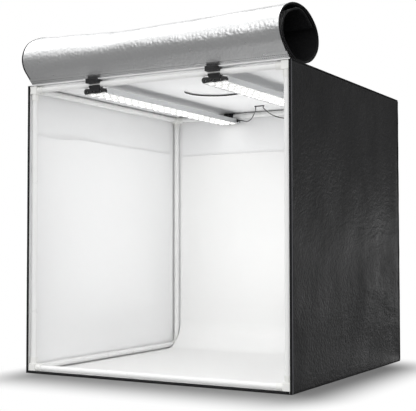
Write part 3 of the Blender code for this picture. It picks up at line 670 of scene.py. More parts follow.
def tube_rings(path, radius, sides=10):
    """Round rings square to a path, without twist."""
    path = [Vector(p) for p in path]
    rings, across = [], None
    for i, point in enumerate(path):
        ahead = (path[min(i + 1, len(path) - 1)] - path[max(i - 1, 0)]).normalized()
        if across is None:
            across = ahead.orthogonal().normalized()
        across = (across - ahead * across.dot(ahead)).normalized()
        other = ahead.cross(across)
        rings.append([point + (across * c + other * s) * radius for c, s in round_about(sides)])
    return rings


def straight_path(start, end, cell):
    """Points along a straight line, about a cell apart."""
    start, end = Vector(start), Vector(end)
    count = max(2, round((end - start).length / cell))
    return [start.lerp(end, i / count) for i in range(count + 1)]


def straight(start, end, out, cell=0.01):
    """A straight line of (point, outward) pairs."""
    return [(point, Vector(out)) for point in straight_path(start, end, cell)]


def add_stitches(name, lines, settings, body):
    """A piece of sewn beads in rows. A line is a list of (point, outward) pairs close together."""
    points, faces = [], []
    half, thick = settings.stitch_long / 2, settings.thread / 2
    turn = round_about(6)
    sides = len(turn)

    def add_bead(middle, along, out):
        """One stitch: a bulging, slightly arched bead with a point at each end."""
        side = along.cross(out).normalized()
        first = len(points) + 1
        points.append(middle - along * half - out * thick)
        for where, swell in ((-0.72, 0.75), (0.0, 1.0), (0.72, 0.75)):
            centre = middle + along * (where * half)
            arch = 0.35 * (1 - where * where) - 0.1
            for c, s in turn:
                points.append(centre + side * (c * swell * thick) + out * (s * swell + arch) * thick)
        points.append(middle + along * half - out * thick)
        last = len(points) - 1
        for k in range(sides):
            n = (k + 1) % sides
            faces.append((first - 1, first + n, first + k))
            for row in range(first, last - sides, sides):
                faces.append((row + k, row + n, row + sides + n, row + sides + k))
            faces.append((last, last - sides + k, last - sides + n))

    for line in lines:
        walked, target = 0.0, settings.stitch_pitch / 2
        for (p, out), (q, _) in zip(line, line[1:]):
            length = (q - p).length
            while walked + length >= target:
                add_bead(p.lerp(q, (target - walked) / length), (q - p).normalized(), out.normalized())
                target += settings.stitch_pitch
            walked += length
    return add_piece(name, points, faces, ["thread"], body)


def dress(name, material, edge=0.0):
    """Gives a fixed node its finish, and rounds its sharp edges."""
    node = frame["nodes"][name]
    node.data.materials.clear()
    node.data.materials.append(MATERIALS[material])
    if edge:
        weld = node.modifiers.new("weld", "WELD")
        weld.merge_threshold = SAME_POINT
        flat = node.modifiers.new("flat faces", "DECIMATE")
        flat.decimate_type = "DISSOLVE"
        flat.angle_limit = math.radians(1.0)
        bevel = node.modifiers.new("edges", "BEVEL")
        bevel.width = edge
        bevel.segments = 2
        bevel.limit_method = "ANGLE"
        bevel.angle_limit = math.radians(35)
        bevel.harden_normals = True


# Rolled door shape

def roll_inset(share):
    """How far the cloth lies inside the roll's outer oval."""
    for (s0, v0), (s1, v1) in zip(ROLL_INSET_SHARES, ROLL_INSET_SHARES[1:]):
        if share <= s1:
            return (v0 + (v1 - v0) * eased((share - s0) / (s1 - s0))) * ROLL_HIGH
    return ROLL_INSET_SHARES[-1][1] * ROLL_HIGH


def roll_point(x, share):
    """The rolled cloth's middle line at a place across the door: share 0 is where the roll starts."""
    along = x / SIDE
    sag = ROLL_SAG * (1 - along * along)
    skew = ROLL_SKEW * (0.5 - along / 2)
    deep = (ROLL_DEEP - DOOR_TRIM_T) / 2
    high = (ROLL_HIGH - sag - DOOR_TRIM_T + ROLL_PRESS) / 2
    lowest = CUBE + GAP + DOOR_TRIM_T / 2
    angle = math.radians(ROLL_START_DEG - ROLL_TURN_DEG * share)
    inset = roll_inset(share)
    shift = skew * min(1.0, share / ROLL_SKEW_SHARE)
    y = FRONT - ROLL_FRONT + ROLL_DEEP / 2 + shift + (deep - inset) * math.cos(angle)
    z = lowest - ROLL_PRESS + high + (high - inset) * math.sin(angle)
    return Vector((x, y, max(z, lowest)))


def roll_wave(x, share, height):
    """How far the cloth swells off its smooth line: most on top, nothing where it lies on the roof."""
    on_top = eased(share / 0.10) * (1 - eased((share - 0.44) / 0.06))
    inside = 0.5 * eased((share - 0.68) / 0.08)
    dent_x, dent_wide, dent_deep, wave_share = -0.085, 0.028, 0.8, 1.25
    dent = math.exp(-((x - dent_x) / dent_wide) ** 2)
    dent *= eased((share - 0.06) / 0.1) * (1 - eased((share - 0.3) / 0.1))
    slow = drift(x * 6.5, share * 7.0, 3.1) + 0.45 * drift(x * 17.0, share * 16.0, 8.4)
    return height * ((on_top + inside) * slow * wave_share - dent * dent_deep)


def roll_row(x, shares, height):
    """Points of the rolled cloth with their outward directions at one place across the door."""
    start = DOOR_HINGE + Vector((x, 0.0, 0.0))
    first = roll_point(x, 0.0)
    outward = (first - start).normalized()
    reach = (first - start).length
    points = [start + outward * r for r in steps(LEAD_IN, reach, 0.003)[:-1]]
    lead = len(points)
    points += [roll_point(x, share) for share in shares]
    row = []
    for i, point in enumerate(points):
        ahead = points[min(i + 1, len(points) - 1)] - points[max(i - 1, 0)]
        out = Vector((0.0, -ahead.z, ahead.y)).normalized()
        row.append((point + out * roll_wave(x, shares[max(0, i - lead)], height), out))
    return row


# Operators

class TentOperator:
    """What the tent's operators share: each needs a scene, and can be undone."""
    bl_options = {"REGISTER", "UNDO"}

    @classmethod
    def poll(cls, context):
        return context.scene is not None


class TENT_OT_stage(TentOperator, bpy.types.Operator):
    """Makes the studio: a pale floor, soft lamps, a white background and the camera."""
    bl_idname = "tent.stage"
    bl_label = "Stage"

    def execute(self, context):
        settings = context.scene.tent_stage
        make_materials(context.scene)
        self.make_world(context.scene, settings)
        self.make_floor(settings)
        self.make_flags(settings)
        self.make_lamps(context.scene, settings)
        self.make_camera(context.scene, settings)
        context.scene.view_settings.view_transform = "Standard"
        return {"FINISHED"}

    @staticmethod
    def seen_directly(made):
        """1 for rays that show the background itself, 0 for those that light the tent."""
        rays = made.add("ShaderNodeLightPath").outputs
        total = rays["Is Camera Ray"]
        for name in ("Is Glossy Ray", "Is Transmission Ray"):
            total = made.number("MAXIMUM", total, rays[name])
        return total

    def make_world(self, scene, settings):
        world = bpy.data.worlds.new("studio")
        made = Nodes(world)
        white = (1.0, 1.0, 1.0, 1.0)
        light = made.add("ShaderNodeBackground", Color=white, Strength=settings.ambient).outputs[0]
        seen = made.add("ShaderNodeBackground", Color=white).outputs[0]
        made.add("ShaderNodeOutputWorld", Surface=made.mix(self.seen_directly(made), light, seen))
        scene.world = world

    def make_floor(self, settings):
        """A white floor: near the tent it shows its dark paint under the lamps, which holds the tent's real
        shadow and paints a wider shadow round it; further off it is plain white.
        """
        cells, size, fade_start = 24, 16.0, 0.1
        bpy.ops.mesh.primitive_grid_add(x_subdivisions=cells, y_subdivisions=cells, size=size)
        floor = bpy.context.object
        floor.name = "studio_floor"
        material = bpy.data.materials.new("studio floor")
        made = Nodes(material)
        paint = made.add("ShaderNodeBsdfDiffuse", Color=(*settings.floor, 1.0)).outputs[0]
        lift = made.add("ShaderNodeEmission", Strength=settings.floor_lift).outputs[0]
        lifted = made.feed_all(made.add("ShaderNodeAddShader"), paint, lift)[0]
        white = made.add("ShaderNodeEmission").outputs[0]
        place = made.add("ShaderNodeTexCoord").outputs["Object"]
        folded = made.vector("ABSOLUTE", made.vector("SUBTRACT", place, settings.shadow_place)[0])[0]
        beyond = made.vector("SUBTRACT", folded, settings.shadow_half)[0]
        outside = made.vector("MAXIMUM", beyond, (0.0, 0.0, 0.0))[0]
        away = made.vector("LENGTH", made.vector("DIVIDE", outside, settings.shadow_fade)[0])["Value"]
        # Painted shadow: the floor's dark paint near the tent fades to plain white across the box's edge.
        fade = made.between(away, fade_start, 1.0, 0.0, 1.0, "SMOOTHSTEP")
        shown = made.mix(self.seen_directly(made), paint, made.mix(fade, lifted, white))
        made.add("ShaderNodeOutputMaterial", Surface=shown)
        floor.data.materials.append(material)

    @staticmethod
    def make_flags(settings):
        """Dim flags that show only in reflections: the ground, a low wall round the studio, and a card
        before the tent's opening, so that the rolled door doesn't mirror the lit inside."""
        ground, near, radius = 0.01, 0.44, 5.0
        low, top, lean = 2.3, 5.5, -0.3
        circle = round_about(64)
        count = len(circle)
        rings = ((near, ground), (radius, ground), (radius, top - lean * radius))
        points = [(x * r, y * r, z) for r, z in rings for x, y in circle]
        faces = [
            (row + k, row + (k + 1) % count, row + count + (k + 1) % count, row + count + k)
            for row in (0, count) for k in range(count)
        ]
        half, foot, head, ahead = 0.29, 0.12, 0.566, 0.003
        faces.append(tuple(range(len(points), len(points) + 4)))
        corners = ((-half, foot), (half, foot), (half, head), (-half, head))
        points += [(x, FRONT - ahead, z) for x, z in corners]
        mesh = bpy.data.meshes.new("studio_flags")
        mesh.from_pydata(points, [], faces)
        material = bpy.data.materials.new("studio flags")
        made = Nodes(material)
        place = made.add("ShaderNodeTexCoord").outputs["Object"]
        height = made.vector("DOT_PRODUCT", place, (0.0, lean, 1.0))["Value"]
        climb = made.between(height, low, top, settings.flag_level, 1.0, "SMOOTHSTEP")
        glow = made.add("ShaderNodeEmission", Strength=climb).outputs[0]
        made.add("ShaderNodeOutputMaterial", Surface=glow)
        mesh.materials.append(material)
        flags = bpy.data.objects.new("studio_flags", mesh)
        bpy.context.scene.collection.objects.link(flags)
        flags.visible_camera = False
        flags.visible_diffuse = False
        flags.visible_transmission = False
        flags.visible_volume_scatter = False
        flags.visible_shadow = False

    def make_lamps(self, scene, settings):
        """Square lamps, each turned to its target. A lamp that isn't mirrored gives no highlight."""
        for name, place, target, size, power, spread, mirrored in (
            ("key_lamp", (-1.2, 0.0, 2.4), (0.0, 0.0, 0.5), 1.8, settings.key_power, 180, True),
            ("fill_lamp", (-0.3, -3.0, 1.4), (0.0, 0.0, 0.3), 1.8, settings.fill_power, 180, True),
            ("front_lamp", (1.1, -2.8, 0.6), (0.0, 0.0, 0.5), 1.0, settings.front_power, 180, False),
            ("bounce_lamp", (0.0, -0.02, 0.012), (0.0, -0.02, 1.0), 0.42, settings.bounce_power, 110, False),
            ("rim_lamp", (0.8, 2.25, 0.1), (0.3, 0.15, 0.15), 0.45, settings.rim_power, 180, True),
        ):
            data = bpy.data.lights.new(name, "AREA")
            data.shape = "SQUARE"
            data.size = size
            data.energy = power
            data.spread = math.radians(spread)
            lamp = bpy.data.objects.new(name, data)
            lamp.location = place
            lamp.rotation_euler = (Vector(target) - Vector(place)).to_track_quat("-Z", "Y").to_euler()
            lamp.visible_camera = False
            lamp.visible_glossy = mirrored
            scene.collection.objects.link(lamp)

    def make_camera(self, scene, settings):
        data = bpy.data.cameras.new("camera")
        data.sensor_width = 36.0
        data.lens = settings.lens
        data.shift_x, data.shift_y = settings.camera_shift
        data.clip_start = 0.05
        camera = bpy.data.objects.new("camera", data)
        camera.location = settings.camera_place
        camera.rotation_euler = settings.camera_turn
        scene.collection.objects.link(camera)
        scene.camera = camera


class TENT_OT_leads(TentOperator, bpy.types.Operator):
    """Makes the two thin leads that run from the light bars to the gland in the roof."""
    bl_idname = "tent.leads"
    bl_label = "Leads"

    def execute(self, context):
        for side, points in LEAD_POINTS.items():
            path = self.route(points)
            lead = add_swept(
                f"flex_lead_{side}", tube_rings(path, LEAD_D / 2, 12), "lead", None, [f"lead_{side}"]
            )
            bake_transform(lead)
            dress(f"lead_boot_{side}", "boot")
        dress("lead_gland", "boot", context.scene.tent_frame.gland_edge)
        return {"FINISHED"}

    @staticmethod
    def route(points):
        """A smooth curve through the lead's own points, with a straight stub at each end."""
        per_stretch = 8
        points = [Vector(p) for p in points]
        inner = points[1:-1]
        ends = [2 * inner[0] - inner[1], *inner, 2 * inner[-1] - inner[-2]]
        smooth = [points[0]]
        for a, b, c, d in zip(ends, ends[1:], ends[2:], ends[3:]):
            for i in range(per_stretch):
                t = i / per_stretch
                bend = (2 * a - 5 * b + 4 * c - d) * t * t + (3 * b - a - 3 * c + d) * t ** 3
                smooth.append((2 * b + (c - a) * t + bend) / 2)
        return [*smooth, inner[-1], points[-1]]


class TENT_OT_frame(TentOperator, bpy.types.Operator):
    """Finishes the coated tubes and the moulded corner connectors."""
    bl_idname = "tent.frame_finish"
    bl_label = "Tubes and connectors"

    def execute(self, context):
        edge = context.scene.tent_frame.edge
        for name in frame["nodes"]:
            if "rail" in name or name.startswith("post"):
                dress(name, "tube")
            elif name.startswith("connector"):
                dress(name, "connector", edge)
        return {"FINISHED"}


class TENT_OT_light_bars(TentOperator, bpy.types.Operator):
    """Finishes the light bars and adds the LEDs' lit lenses."""
    bl_idname = "tent.light_bars"
    bl_label = "Light bars"

    def execute(self, context):
        settings = context.scene.tent_frame
        for side in ("left", "right"):
            dress(f"bar_housing_{side}", "housing")
            dress(f"led_board_{side}", "board")
            dress(f"clip_front_{side}", "clip", settings.edge)
            dress(f"clip_rear_{side}", "clip", settings.edge)
            self.make_lenses(side, settings)
            self.make_light(side, settings)
        return {"FINISHED"}

    @staticmethod
    def make_light(side, settings):
        """The light that a bar's LEDs shed together, just below them."""
        long_share, toward_front, below = 0.82, 0.02, 0.0012
        low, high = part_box(f"led_board_{side}")
        data = bpy.data.lights.new(f"bar_light_{side}", "AREA")
        data.shape = "RECTANGLE"
        data.size = high.x - low.x
        data.size_y = (high.y - low.y) * long_share
        data.energy = settings.bar_power
        lamp = bpy.data.objects.new(f"bar_light_{side}", data)
        lamp.location = ((low.x + high.x) / 2, (low.y + high.y) / 2 - toward_front, low.z - below)
        lamp.visible_camera = False
        bpy.context.scene.collection.objects.link(lamp)
        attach(lamp, f"{side}_bar")

    @staticmethod
    def lens_outline():
        """A lens seen from below: a rectangle with round corners."""
        corner = LENS_WIDE * 0.16
        outline = []
        for u, v, start in ((1, 1, 0), (-1, 1, 90), (-1, -1, 180), (1, -1, 270)):
            for turn in (0, 45, 90):
                angle = math.radians(start + turn)
                x = LENS_LONG / 2 - corner * (1 - abs(math.cos(angle)))
                y = LENS_WIDE / 2 - corner * (1 - abs(math.sin(angle)))
                outline.append((u * x, v * y))
        return outline

    def make_lenses(self, side, settings):
        """The lenses of a board's LEDs, three to a row."""
        low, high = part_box(f"led_board_{side}")
        centre = (low + high) / 2
        pitch = (high.y - low.y) / settings.lens_rows
        outline, rise = self.lens_outline(), settings.lens_rise
        points, faces = [], []
        for row in range(settings.lens_rows):
            y = centre.y + (row - (settings.lens_rows - 1) / 2) * pitch
            for column in (-1, 0, 1):
                at = Vector((centre.x + column * LENS_SPREAD, y, low.z))
                more, skin = sweep([
                    [at + Vector((u * shrink, v * shrink, z)) for u, v in outline]
                    for z, shrink in ((ON_CLOTH, 1.0), (-rise * 0.6, 1.0), (-rise, 0.9))
                ])
                faces += [tuple(len(points) + k for k in face) for face in skin]
                points += more
        add_piece(f"led_lenses_{side}", points, faces, ["lens"], f"{side}_bar")


class TENT_OT_shell(TentOperator, bpy.types.Operator):
    """Makes the five sewn panels: crumpled black nylon outside and bright film inside."""
    bl_idname = "tent.shell"
    bl_label = "Shell panels"

    def execute(self, context):
        settings = context.scene.tent_cloth
        deep = steps(WALL_FRONT, BACK, settings.cell)
        tall = steps(LEFT_LOW.z, LEFT_HIGH.z, settings.cell)
        wide = steps(BACK_LOW.x, BACK_HIGH.x, settings.cell)
        for side, sign, seed in (("left", -1, 7.7), ("right", 1, 2.3)):
            made = self.panel(
                f"{side}_wall_cloth", deep, tall, lambda u, v, x=sign * SIDE: (x, u, v), (sign, 0, 0),
                f"{side}_wall", settings, seed, stretch=2.2,
            )
        made = self.panel(
            "back_wall_cloth", wide, tall, lambda u, v: (u, BACK, v), BEHIND, "back_wall", settings, 12.1
        )
        self.make_base()
        self.make_roof(settings)
        return {"FINISHED"}

    @staticmethod
    def creases(across, up, seed, stretch=1.0):
        """Lift of the creased cloth over a grid of places, from -1 to 1, calm along the edges."""
        bend, broad_share, large_share, fine_share = 0.02, 0.9, 0.42, 0.2
        hollow_share, margin = 0.3, 0.03
        lifts = []
        for v in up:
            row = []
            for u in across:
                w = u / stretch
                bend_u, bend_v = bend * drift(w * 9, v * 9, seed), bend * drift(w * 9, v * 9, seed + 5)
                bent = Vector((w + bend_u, v + bend_v, seed))
                broad = drift(w * 4.5, v * 4.5, seed + 21)
                large = ridges(bent, 5.5, 1.05, 2.1, 4)
                fine = ridges(bent, 24.0, 0.9, 2.2, 3)
                busy = eased(0.5 + 1.3 * drift(w * 4, v * 4, seed + 11))
                row.append(broad_share * broad + large_share * large + fine_share * fine * busy)
            lifts.append(row)
        flat = [value for row in lifts for value in row]
        middle = sum(flat) / len(flat)
        most = max(abs(value - middle) for value in flat)
        for i, v in enumerate(up):
            for j, u in enumerate(across):
                rim = min(u - across[0], across[-1] - u, v - up[0], up[-1] - v)
                lift = (lifts[i][j] - middle) / most
                lifts[i][j] = (lift if lift > 0 else hollow_share * lift) * eased(rim / margin)
        return lifts

    def panel(self, name, across, up, place, outward, slot, settings, seed, stretch=1.0):
        """A panel from two lists of places. place(u, v) is a point of its outer face."""
        lifts = self.creases(across, up, seed, stretch)
        outward = Vector(outward)
        outer = [
            [Vector(place(u, v)) + outward * (settings.crumple * lifts[i][j]) for j, u in enumerate(across)]
            for i, v in enumerate(up)
        ]
        inner = [[Vector(place(u, v)) - outward * WALL for u in across] for v in up]
        return add_cloth(name, outer, inner, ["nylon", "inside", "nylon"], "tent", [slot])

    @staticmethod
    def make_base():
        """The base panel: flat below, where the tent stands."""
        cell = 0.02
        deep, wide = steps(WALL_FRONT, BACK, cell), steps(-SIDE, SIDE, cell)
        upper = [[(u, v, WALL) for u in wide] for v in deep]
        lower = [[(u, v, 0.0) for u in wide] for v in deep]
        base = add_cloth(
            "base_cloth", upper, lower, ["inside", "nylon", "nylon"], "tent", ["base_panel"]
        )

    def make_roof(self, settings):
        """The roof panel, cut for the hatch and the gland's slit."""
        deep, wide = steps(FRONT, BACK, settings.cell), steps(-SIDE, SIDE, settings.cell)
        lifts = self.creases(wide, deep, 17.9)
        gland_low, gland_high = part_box("lead_gland")
        gland = (gland_low + gland_high) / 2
        calm, tape_half, crumple_share = 0.05, 0.05, 0.9
        tape_start, tape_end = TAPE_LOW.y - 0.01, TAPE_HIGH.y + 0.02

        def top(u, v, lift):
            """Creased cloth, calm under the roll, round the hatch and its tape, and round the gland."""
            beside_hatch = math.hypot(u, v - HATCH_CENTRE.y) - RING_HIGH.x
            beside_gland = max(abs(u - gland.x), abs(v - gland_low.y)) - calm / 2
            before_tape = TAPE_HIGH.y - v if abs(u) > tape_half else 1.0
            free = eased(min(beside_hatch, beside_gland, v - ROLL_END, before_tape, calm) / calm)
            if tape_start < v < tape_end and abs(u) < tape_half:
                free = 0.0
            return CUBE + settings.crumple * crumple_share * free * lift

        upper = [[(u, v, top(u, v, lifts[i][j])) for j, u in enumerate(wide)] for i, v in enumerate(deep)]
        lower = [[(u, v, CUBE - WALL) for u in wide] for v in deep]
        roof = add_cloth("roof_cloth", upper, lower, ["nylon", "inside", "nylon"], None)
        self.cut_roof(roof, gland)
        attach(roof, "tent")
        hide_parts("roof_panel")

    @staticmethod
    def cut_roof(roof, gland):
        """Cuts the round hole and the slit, and gives their edges the cloth's finish."""
        slit_long, slit_wide, cut_high = 0.024, 0.0046, 0.02
        hole, slit = bmesh.new(), bmesh.new()
        bmesh.ops.create_cone(
            hole, cap_ends=True, segments=96, radius1=HATCH_D / 2, radius2=HATCH_D / 2, depth=cut_high,
            matrix=Matrix.Translation((HATCH_CENTRE.x, HATCH_CENTRE.y, CUBE)),
        )
        bmesh.ops.create_cube(
            slit, size=1.0,
            matrix=Matrix.Translation((gland.x, gland.y, CUBE))
            @ Matrix.Diagonal((slit_long, slit_wide, cut_high, 1.0)),
        )
        cutters = []
        for i, bm in enumerate((hole, slit)):
            mesh = bpy.data.meshes.new(f"cutter_{i}")
            bm.to_mesh(mesh)
            bm.free()
            cutter = bpy.data.objects.new(f"cutter_{i}", mesh)
            bpy.context.scene.collection.objects.link(cutter)
            step = roof.modifiers.new(f"cut {i}", "BOOLEAN")
            step.operation = "DIFFERENCE"
            step.solver = "EXACT"
            step.object = cutter
            cutters.append(cutter)
        graph = bpy.context.evaluated_depsgraph_get()
        cut = bpy.data.meshes.new_from_object(roof.evaluated_get(graph))
        roof.modifiers.clear()
        roof.data = cut
        for cutter in cutters:
            bpy.data.objects.remove(cutter, do_unlink=True)
        for face in cut.polygons:
            if abs(face.normal.z) < 0.5:
                is_front = face.normal.y < -0.9 and face.center.y < FRONT + 0.001
                face.material_index = 1 if is_front else 2


class TENT_OT_seams(TentOperator, bpy.types.Operator):
    """Makes the piping along the cube's edges, the front bindings and the rows of stitches."""
    bl_idname = "tent.seams"
    bl_label = "Seams and bindings"

    def execute(self, context):
        settings = context.scene.tent_cloth
        for name, sign in (("left", -1), ("right", 1)):
            self.make_side_binding(name, sign)
        self.make_bottom_binding()
        self.make_piping(settings.piping / 2)
        self.make_stitches(settings)
        return {"FINISHED"}

    @staticmethod
    def wander(path, seed, height=0.0004):
        """Lets a sewn line wander a little, as a hand-fed seam does."""
        return [
            p + height * Vector((
                drift(p.x * 30, p.y * 30, seed + p.z * 30), drift(p.y * 30, p.z * 30, seed + 4), 0.0
            ))
            for p in path
        ]

    @staticmethod
    def rounded_loop(corners, radius):
        """A path through corners with round turns, each stretch between them in count pieces."""
        count = 60
        corners = [Vector(corner) for corner in corners]
        path = corners[:1]
        for before, corner, after in zip(corners, corners[1:], corners[2:]):
            start = corner + (before - corner).normalized() * radius
            end = corner + (after - corner).normalized() * radius
            path += [path[-1].lerp(start, i / count) for i in range(1, count + 1)]
            path += [start.lerp(corner, t).lerp(corner.lerp(end, t), t) for t in (0.2, 0.4, 0.6, 0.8, 1.0)]
        return path + [path[-1].lerp(corners[-1], i / count) for i in range(1, count + 1)]

    @staticmethod
    def make_side_binding(name, sign):
        """The folded tape round a side wall's front edge, with a painted highlight along its outer leg."""
        cell, fold, rib_strip = 0.006, 0.004, 7
        inner, outer = SIDE - 0.0034, SIDE + 0.0012
        section = [
            (inner, 0.0029), (inner - 0.0001, 0.0014), (inner + 0.0005, 0.0004), (inner + 0.0014, 0.0000),
            (SIDE - 0.0010, -0.0001), (SIDE + 0.0002, 0.0002), (outer - 0.0003, 0.0010), (outer, 0.0022),
            (outer + 0.0001, 0.0058), (outer - 0.0001, 0.0085), (outer - 0.0005, 0.0094),
            (SIDE + 0.0003, 0.0095), (SIDE + 0.0002, 0.0029),
        ]
        rings = []
        for z in steps(0.0, CUBE - WALL - GAP, cell):
            sway = 0.0005 * drift(z * 14, sign * 3, 2.2)
            swell = 0.00018 * drift(z * 70, sign, 6.1)
            rings.append([
                Vector((
                    sign * (x + (swell if x > SIDE else 0.0)), FRONT + y + (sway if y > fold else 0.0), z
                ))
                for x, y in section
            ])
        points, faces = sweep(rings)
        # One strip of faces on the outer leg takes the painted highlight.
        rib = [int(k < len(faces) - 2 and k % len(section) == rib_strip) for k in range(len(faces))]
        add_piece(f"front_binding_{name}", points, faces, ["binding", "rib"], "tent",
                  [f"binding_{name}"], rib)

    @staticmethod
    def make_bottom_binding():
        """The tape folded over the base's front edge."""
        cell, fold = 0.006, 0.004
        low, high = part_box("binding_bottom")
        section = [
            (0.0030, 0.0), (0.0006, 0.0), (0.0, 0.0006), (-0.0001, 0.0026), (0.0003, 0.0044),
            (0.0010, 0.0050), (0.0022, 0.0052), (0.0030, 0.0050),
        ]
        rings = []
        for x in steps(low.x, high.x, cell):
            swell = 0.0002 * drift(x * 60, 0.0, 4.4)
            rings.append([Vector((x, FRONT + y, z + (swell if z > fold else 0.0))) for y, z in section])
        add_swept("front_binding_bottom", rings, "binding", "tent", ["binding_bottom"])

    def make_piping(self, radius):
        """Thin piping along the cube's edges. Only the bottom one lies straight, where the tent stands."""
        turn, cell = 0.004, 0.006
        reach, start = SIDE + 0.0003, WALL_FRONT + 0.001
        high = CUBE - radius - 0.0004
        corners = ((-reach, start), (-reach, BACK), (reach, BACK), (reach, start))
        edges = {
            "bottom_piping": self.rounded_loop([(x, y, radius) for x, y in corners], turn),
            "top_piping": self.rounded_loop([(x, y, high) for x, y in corners], turn),
        }
        for side, x in (("left", -SIDE), ("right", SIDE)):
            foot, head = (x, BACK, 2 * radius), (x, BACK, high - radius)
            edges[f"rear_piping_{side}"] = straight_path(foot, head, cell)
        for i, (name, path) in enumerate(edges.items()):
            if name != "bottom_piping":
                path = self.wander(path, i * 3.0)
            add_swept(name, tube_rings(path, radius), "binding", "tent")

    @staticmethod
    def make_stitches(settings):
        """A row of stitches along each seam of the shell."""
        inset, margin = 0.0062, 0.008
        rows = []
        for sign in (-1, 1):
            tape, fold = sign * (SIDE + 0.0013), sign * (SIDE - 0.0014)
            wall, seam = sign * (SIDE + ON_CLOTH), sign * (SIDE - inset)
            side = (sign, 0, 0)
            rows += [
                ((tape, FRONT + 0.0068, 0.004), (tape, FRONT + 0.0068, CUBE - 0.004), side),
                ((fold, FRONT - ON_CLOTH, 0.006), (fold, FRONT - ON_CLOTH, CUBE - 0.006), AHEAD),
                ((wall, WALL_FRONT + 0.012, inset), (wall, BACK - 0.004, inset), side),
                ((wall, WALL_FRONT + 0.012, CUBE - inset), (wall, BACK - 0.004, CUBE - inset), side),
                ((wall, BACK - inset, margin), (wall, BACK - inset, CUBE - margin), side),
                ((seam, BACK + ON_CLOTH, margin), (seam, BACK + ON_CLOTH, CUBE - margin), BEHIND),
                ((seam, ROLL_END, CUBE + ON_CLOTH), (seam, BACK - 0.006, CUBE + ON_CLOTH), UP),
            ]
        for y, z, out in (
            (BACK + ON_CLOTH, inset, BEHIND), (BACK + ON_CLOTH, CUBE - inset, BEHIND),
            (BACK - inset, CUBE + ON_CLOTH, UP), (FRONT - 2 * ON_CLOTH, 0.0030, AHEAD),
        ):
            rows.append(((-SIDE + margin, y, z), (SIDE - margin, y, z), out))
        add_stitches("seam_stitches", [straight(*row) for row in rows], settings, "tent")


class TENT_OT_door(TentOperator, bpy.types.Operator):
    """Makes the rolled front door, its bound ends, its free edge and the hem that joins it to the roof."""
    bl_idname = "tent.door"
    bl_label = "Rolled door"

    def execute(self, context):
        settings = context.scene.tent_cloth
        count, cell = 230, 0.005
        shares = [i / count for i in range(count + 1)]
        stations = steps(DOOR_LEFT + 3 * GAP, DOOR_RIGHT - 3 * GAP, cell)
        rows = [roll_row(x, shares, settings.door_wave) for x in stations]
        half = DOOR_T / 2
        outer = [[p + out * half for p, out in row] for row in rows]
        inner = [[p - out * half for p, out in row] for row in rows]
        door = add_cloth(
            "door_cloth", outer, inner, ["silver", "nylon", "binding"], "door_roll", ["door_roll"]
        )
        for name, sign, end in (("left", -1, DOOR_LEFT), ("right", 1, DOOR_RIGHT)):
            self.make_trim(name, sign, end, shares, settings)
        self.make_free_edge(stations, shares, settings)
        self.make_hem(settings)
        return {"FINISHED"}

    @staticmethod
    def make_trim(name, sign, end, shares, settings):
        """The tape folded over an end of the door, as wide as the solid it stands for."""
        half, on_tape = DOOR_TRIM_T / 2, 0.96
        lip = 0.56 if sign > 0 else 0.20
        section = [
            (lip, 0.80), (lip + 0.04, 0.97), (0.70, 0.92), (0.80, 0.95), (0.94, 0.75), (1.0, 0.35),
            (1.0, -0.35), (0.93, -0.75), (0.75, -0.95), (0.30, -0.92), (0.06, -1.0), (0.0, -0.80),
        ]
        row = roll_row(end - sign * DOOR_TRIM / 2, shares, settings.door_wave)

        def moved(point, u):
            """A point of the row at a share of the tape's width."""
            return Vector((end - sign * DOOR_TRIM * (1 - u), point.y, point.z))

        rings = [[moved(p, u) + out * (half * v) for u, v in section] for p, out in row]
        add_swept(f"door_binding_{name}", rings, "binding", "door_roll", [f"door_trim_{name}"])
        lines = [
            [(moved(p, u) + out * (face * half * on_tape), out * face) for p, out in row]
            for face, u in ((1, 0.78), (-1, 0.38))
        ]
        add_stitches(f"door_stitches_{name}", lines, settings, "door_roll")

    @staticmethod
    def make_free_edge(stations, shares, settings):
        """The tape folded over the door's free edge, inside the roll."""
        long, half, sewn_share, last_shares = 0.009, DOOR_TRIM_T / 2, 0.75, 12
        section = [
            (-1.0, 0.75), (-0.92, 1.0), (-0.1, 0.95), (0.05, 0.6), (0.12, 0.0), (0.05, -0.6),
            (-0.1, -0.95), (-0.92, -1.0), (-1.0, -0.75),
        ]
        rings, sewn = [], []
        for x in stations:
            row = roll_row(x, shares[-last_shares:], settings.door_wave)
            (before, _), (point, out) = row[-2:]
            along = (point - before).normalized()
            rings.append([point + along * (long * u) + out * (half * v) for u, v in section])
            sewn.append((point - along * (long * sewn_share) + out * half, out))
        add_swept("door_free_edge", rings, "binding", "door_roll")
        add_stitches("door_edge_stitches", [sewn], settings, "door_roll")

    @staticmethod
    def make_hem(settings):
        """The strip of door that joins the roof's front edge to the roll."""
        half, lift, thread_lift = DOOR_T / 2, 0.00012, 0.0003

        def place(x, r):
            """The strip's middle at a reach from the hinge, with its outward direction."""
            hinge = Vector((x, DOOR_HINGE.y, DOOR_HINGE.z))
            ahead = (roll_point(x, 0.0) - hinge).normalized()
            return hinge + ahead * r, Vector((0.0, -ahead.z, ahead.y))

        direction = place(0.0, 1.0)[0] - Vector((0.0, DOOR_HINGE.y, DOOR_HINGE.z))
        seat = GAP - (DOOR_HINGE.z - CUBE) * direction.z
        reaches = steps(seat, LEAD_IN + 0.0004, 0.0009)
        stations = steps(DOOR_LEFT, DOOR_RIGHT, 0.006)
        rows = [[place(x, r) for r in reaches] for x in stations]
        upper = [[p + out * (half + lift) for p, out in row] for row in rows]
        lower = [[p - out * half for p, out in row] for row in rows]
        hem = add_cloth(
            "door_hem_cloth", upper, lower, ["silver", "nylon", "binding"], None, ["door_hem"]
        )
        lines = [
            [(p + out * (half + thread_lift), out) for p, out in [place(x, r) for x in stations]]
            for r in (0.0035, 0.0075)
        ]
        sewn = add_stitches("door_hem_stitches", lines, settings, None)
        for piece in (hem, sewn):
            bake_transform(piece)


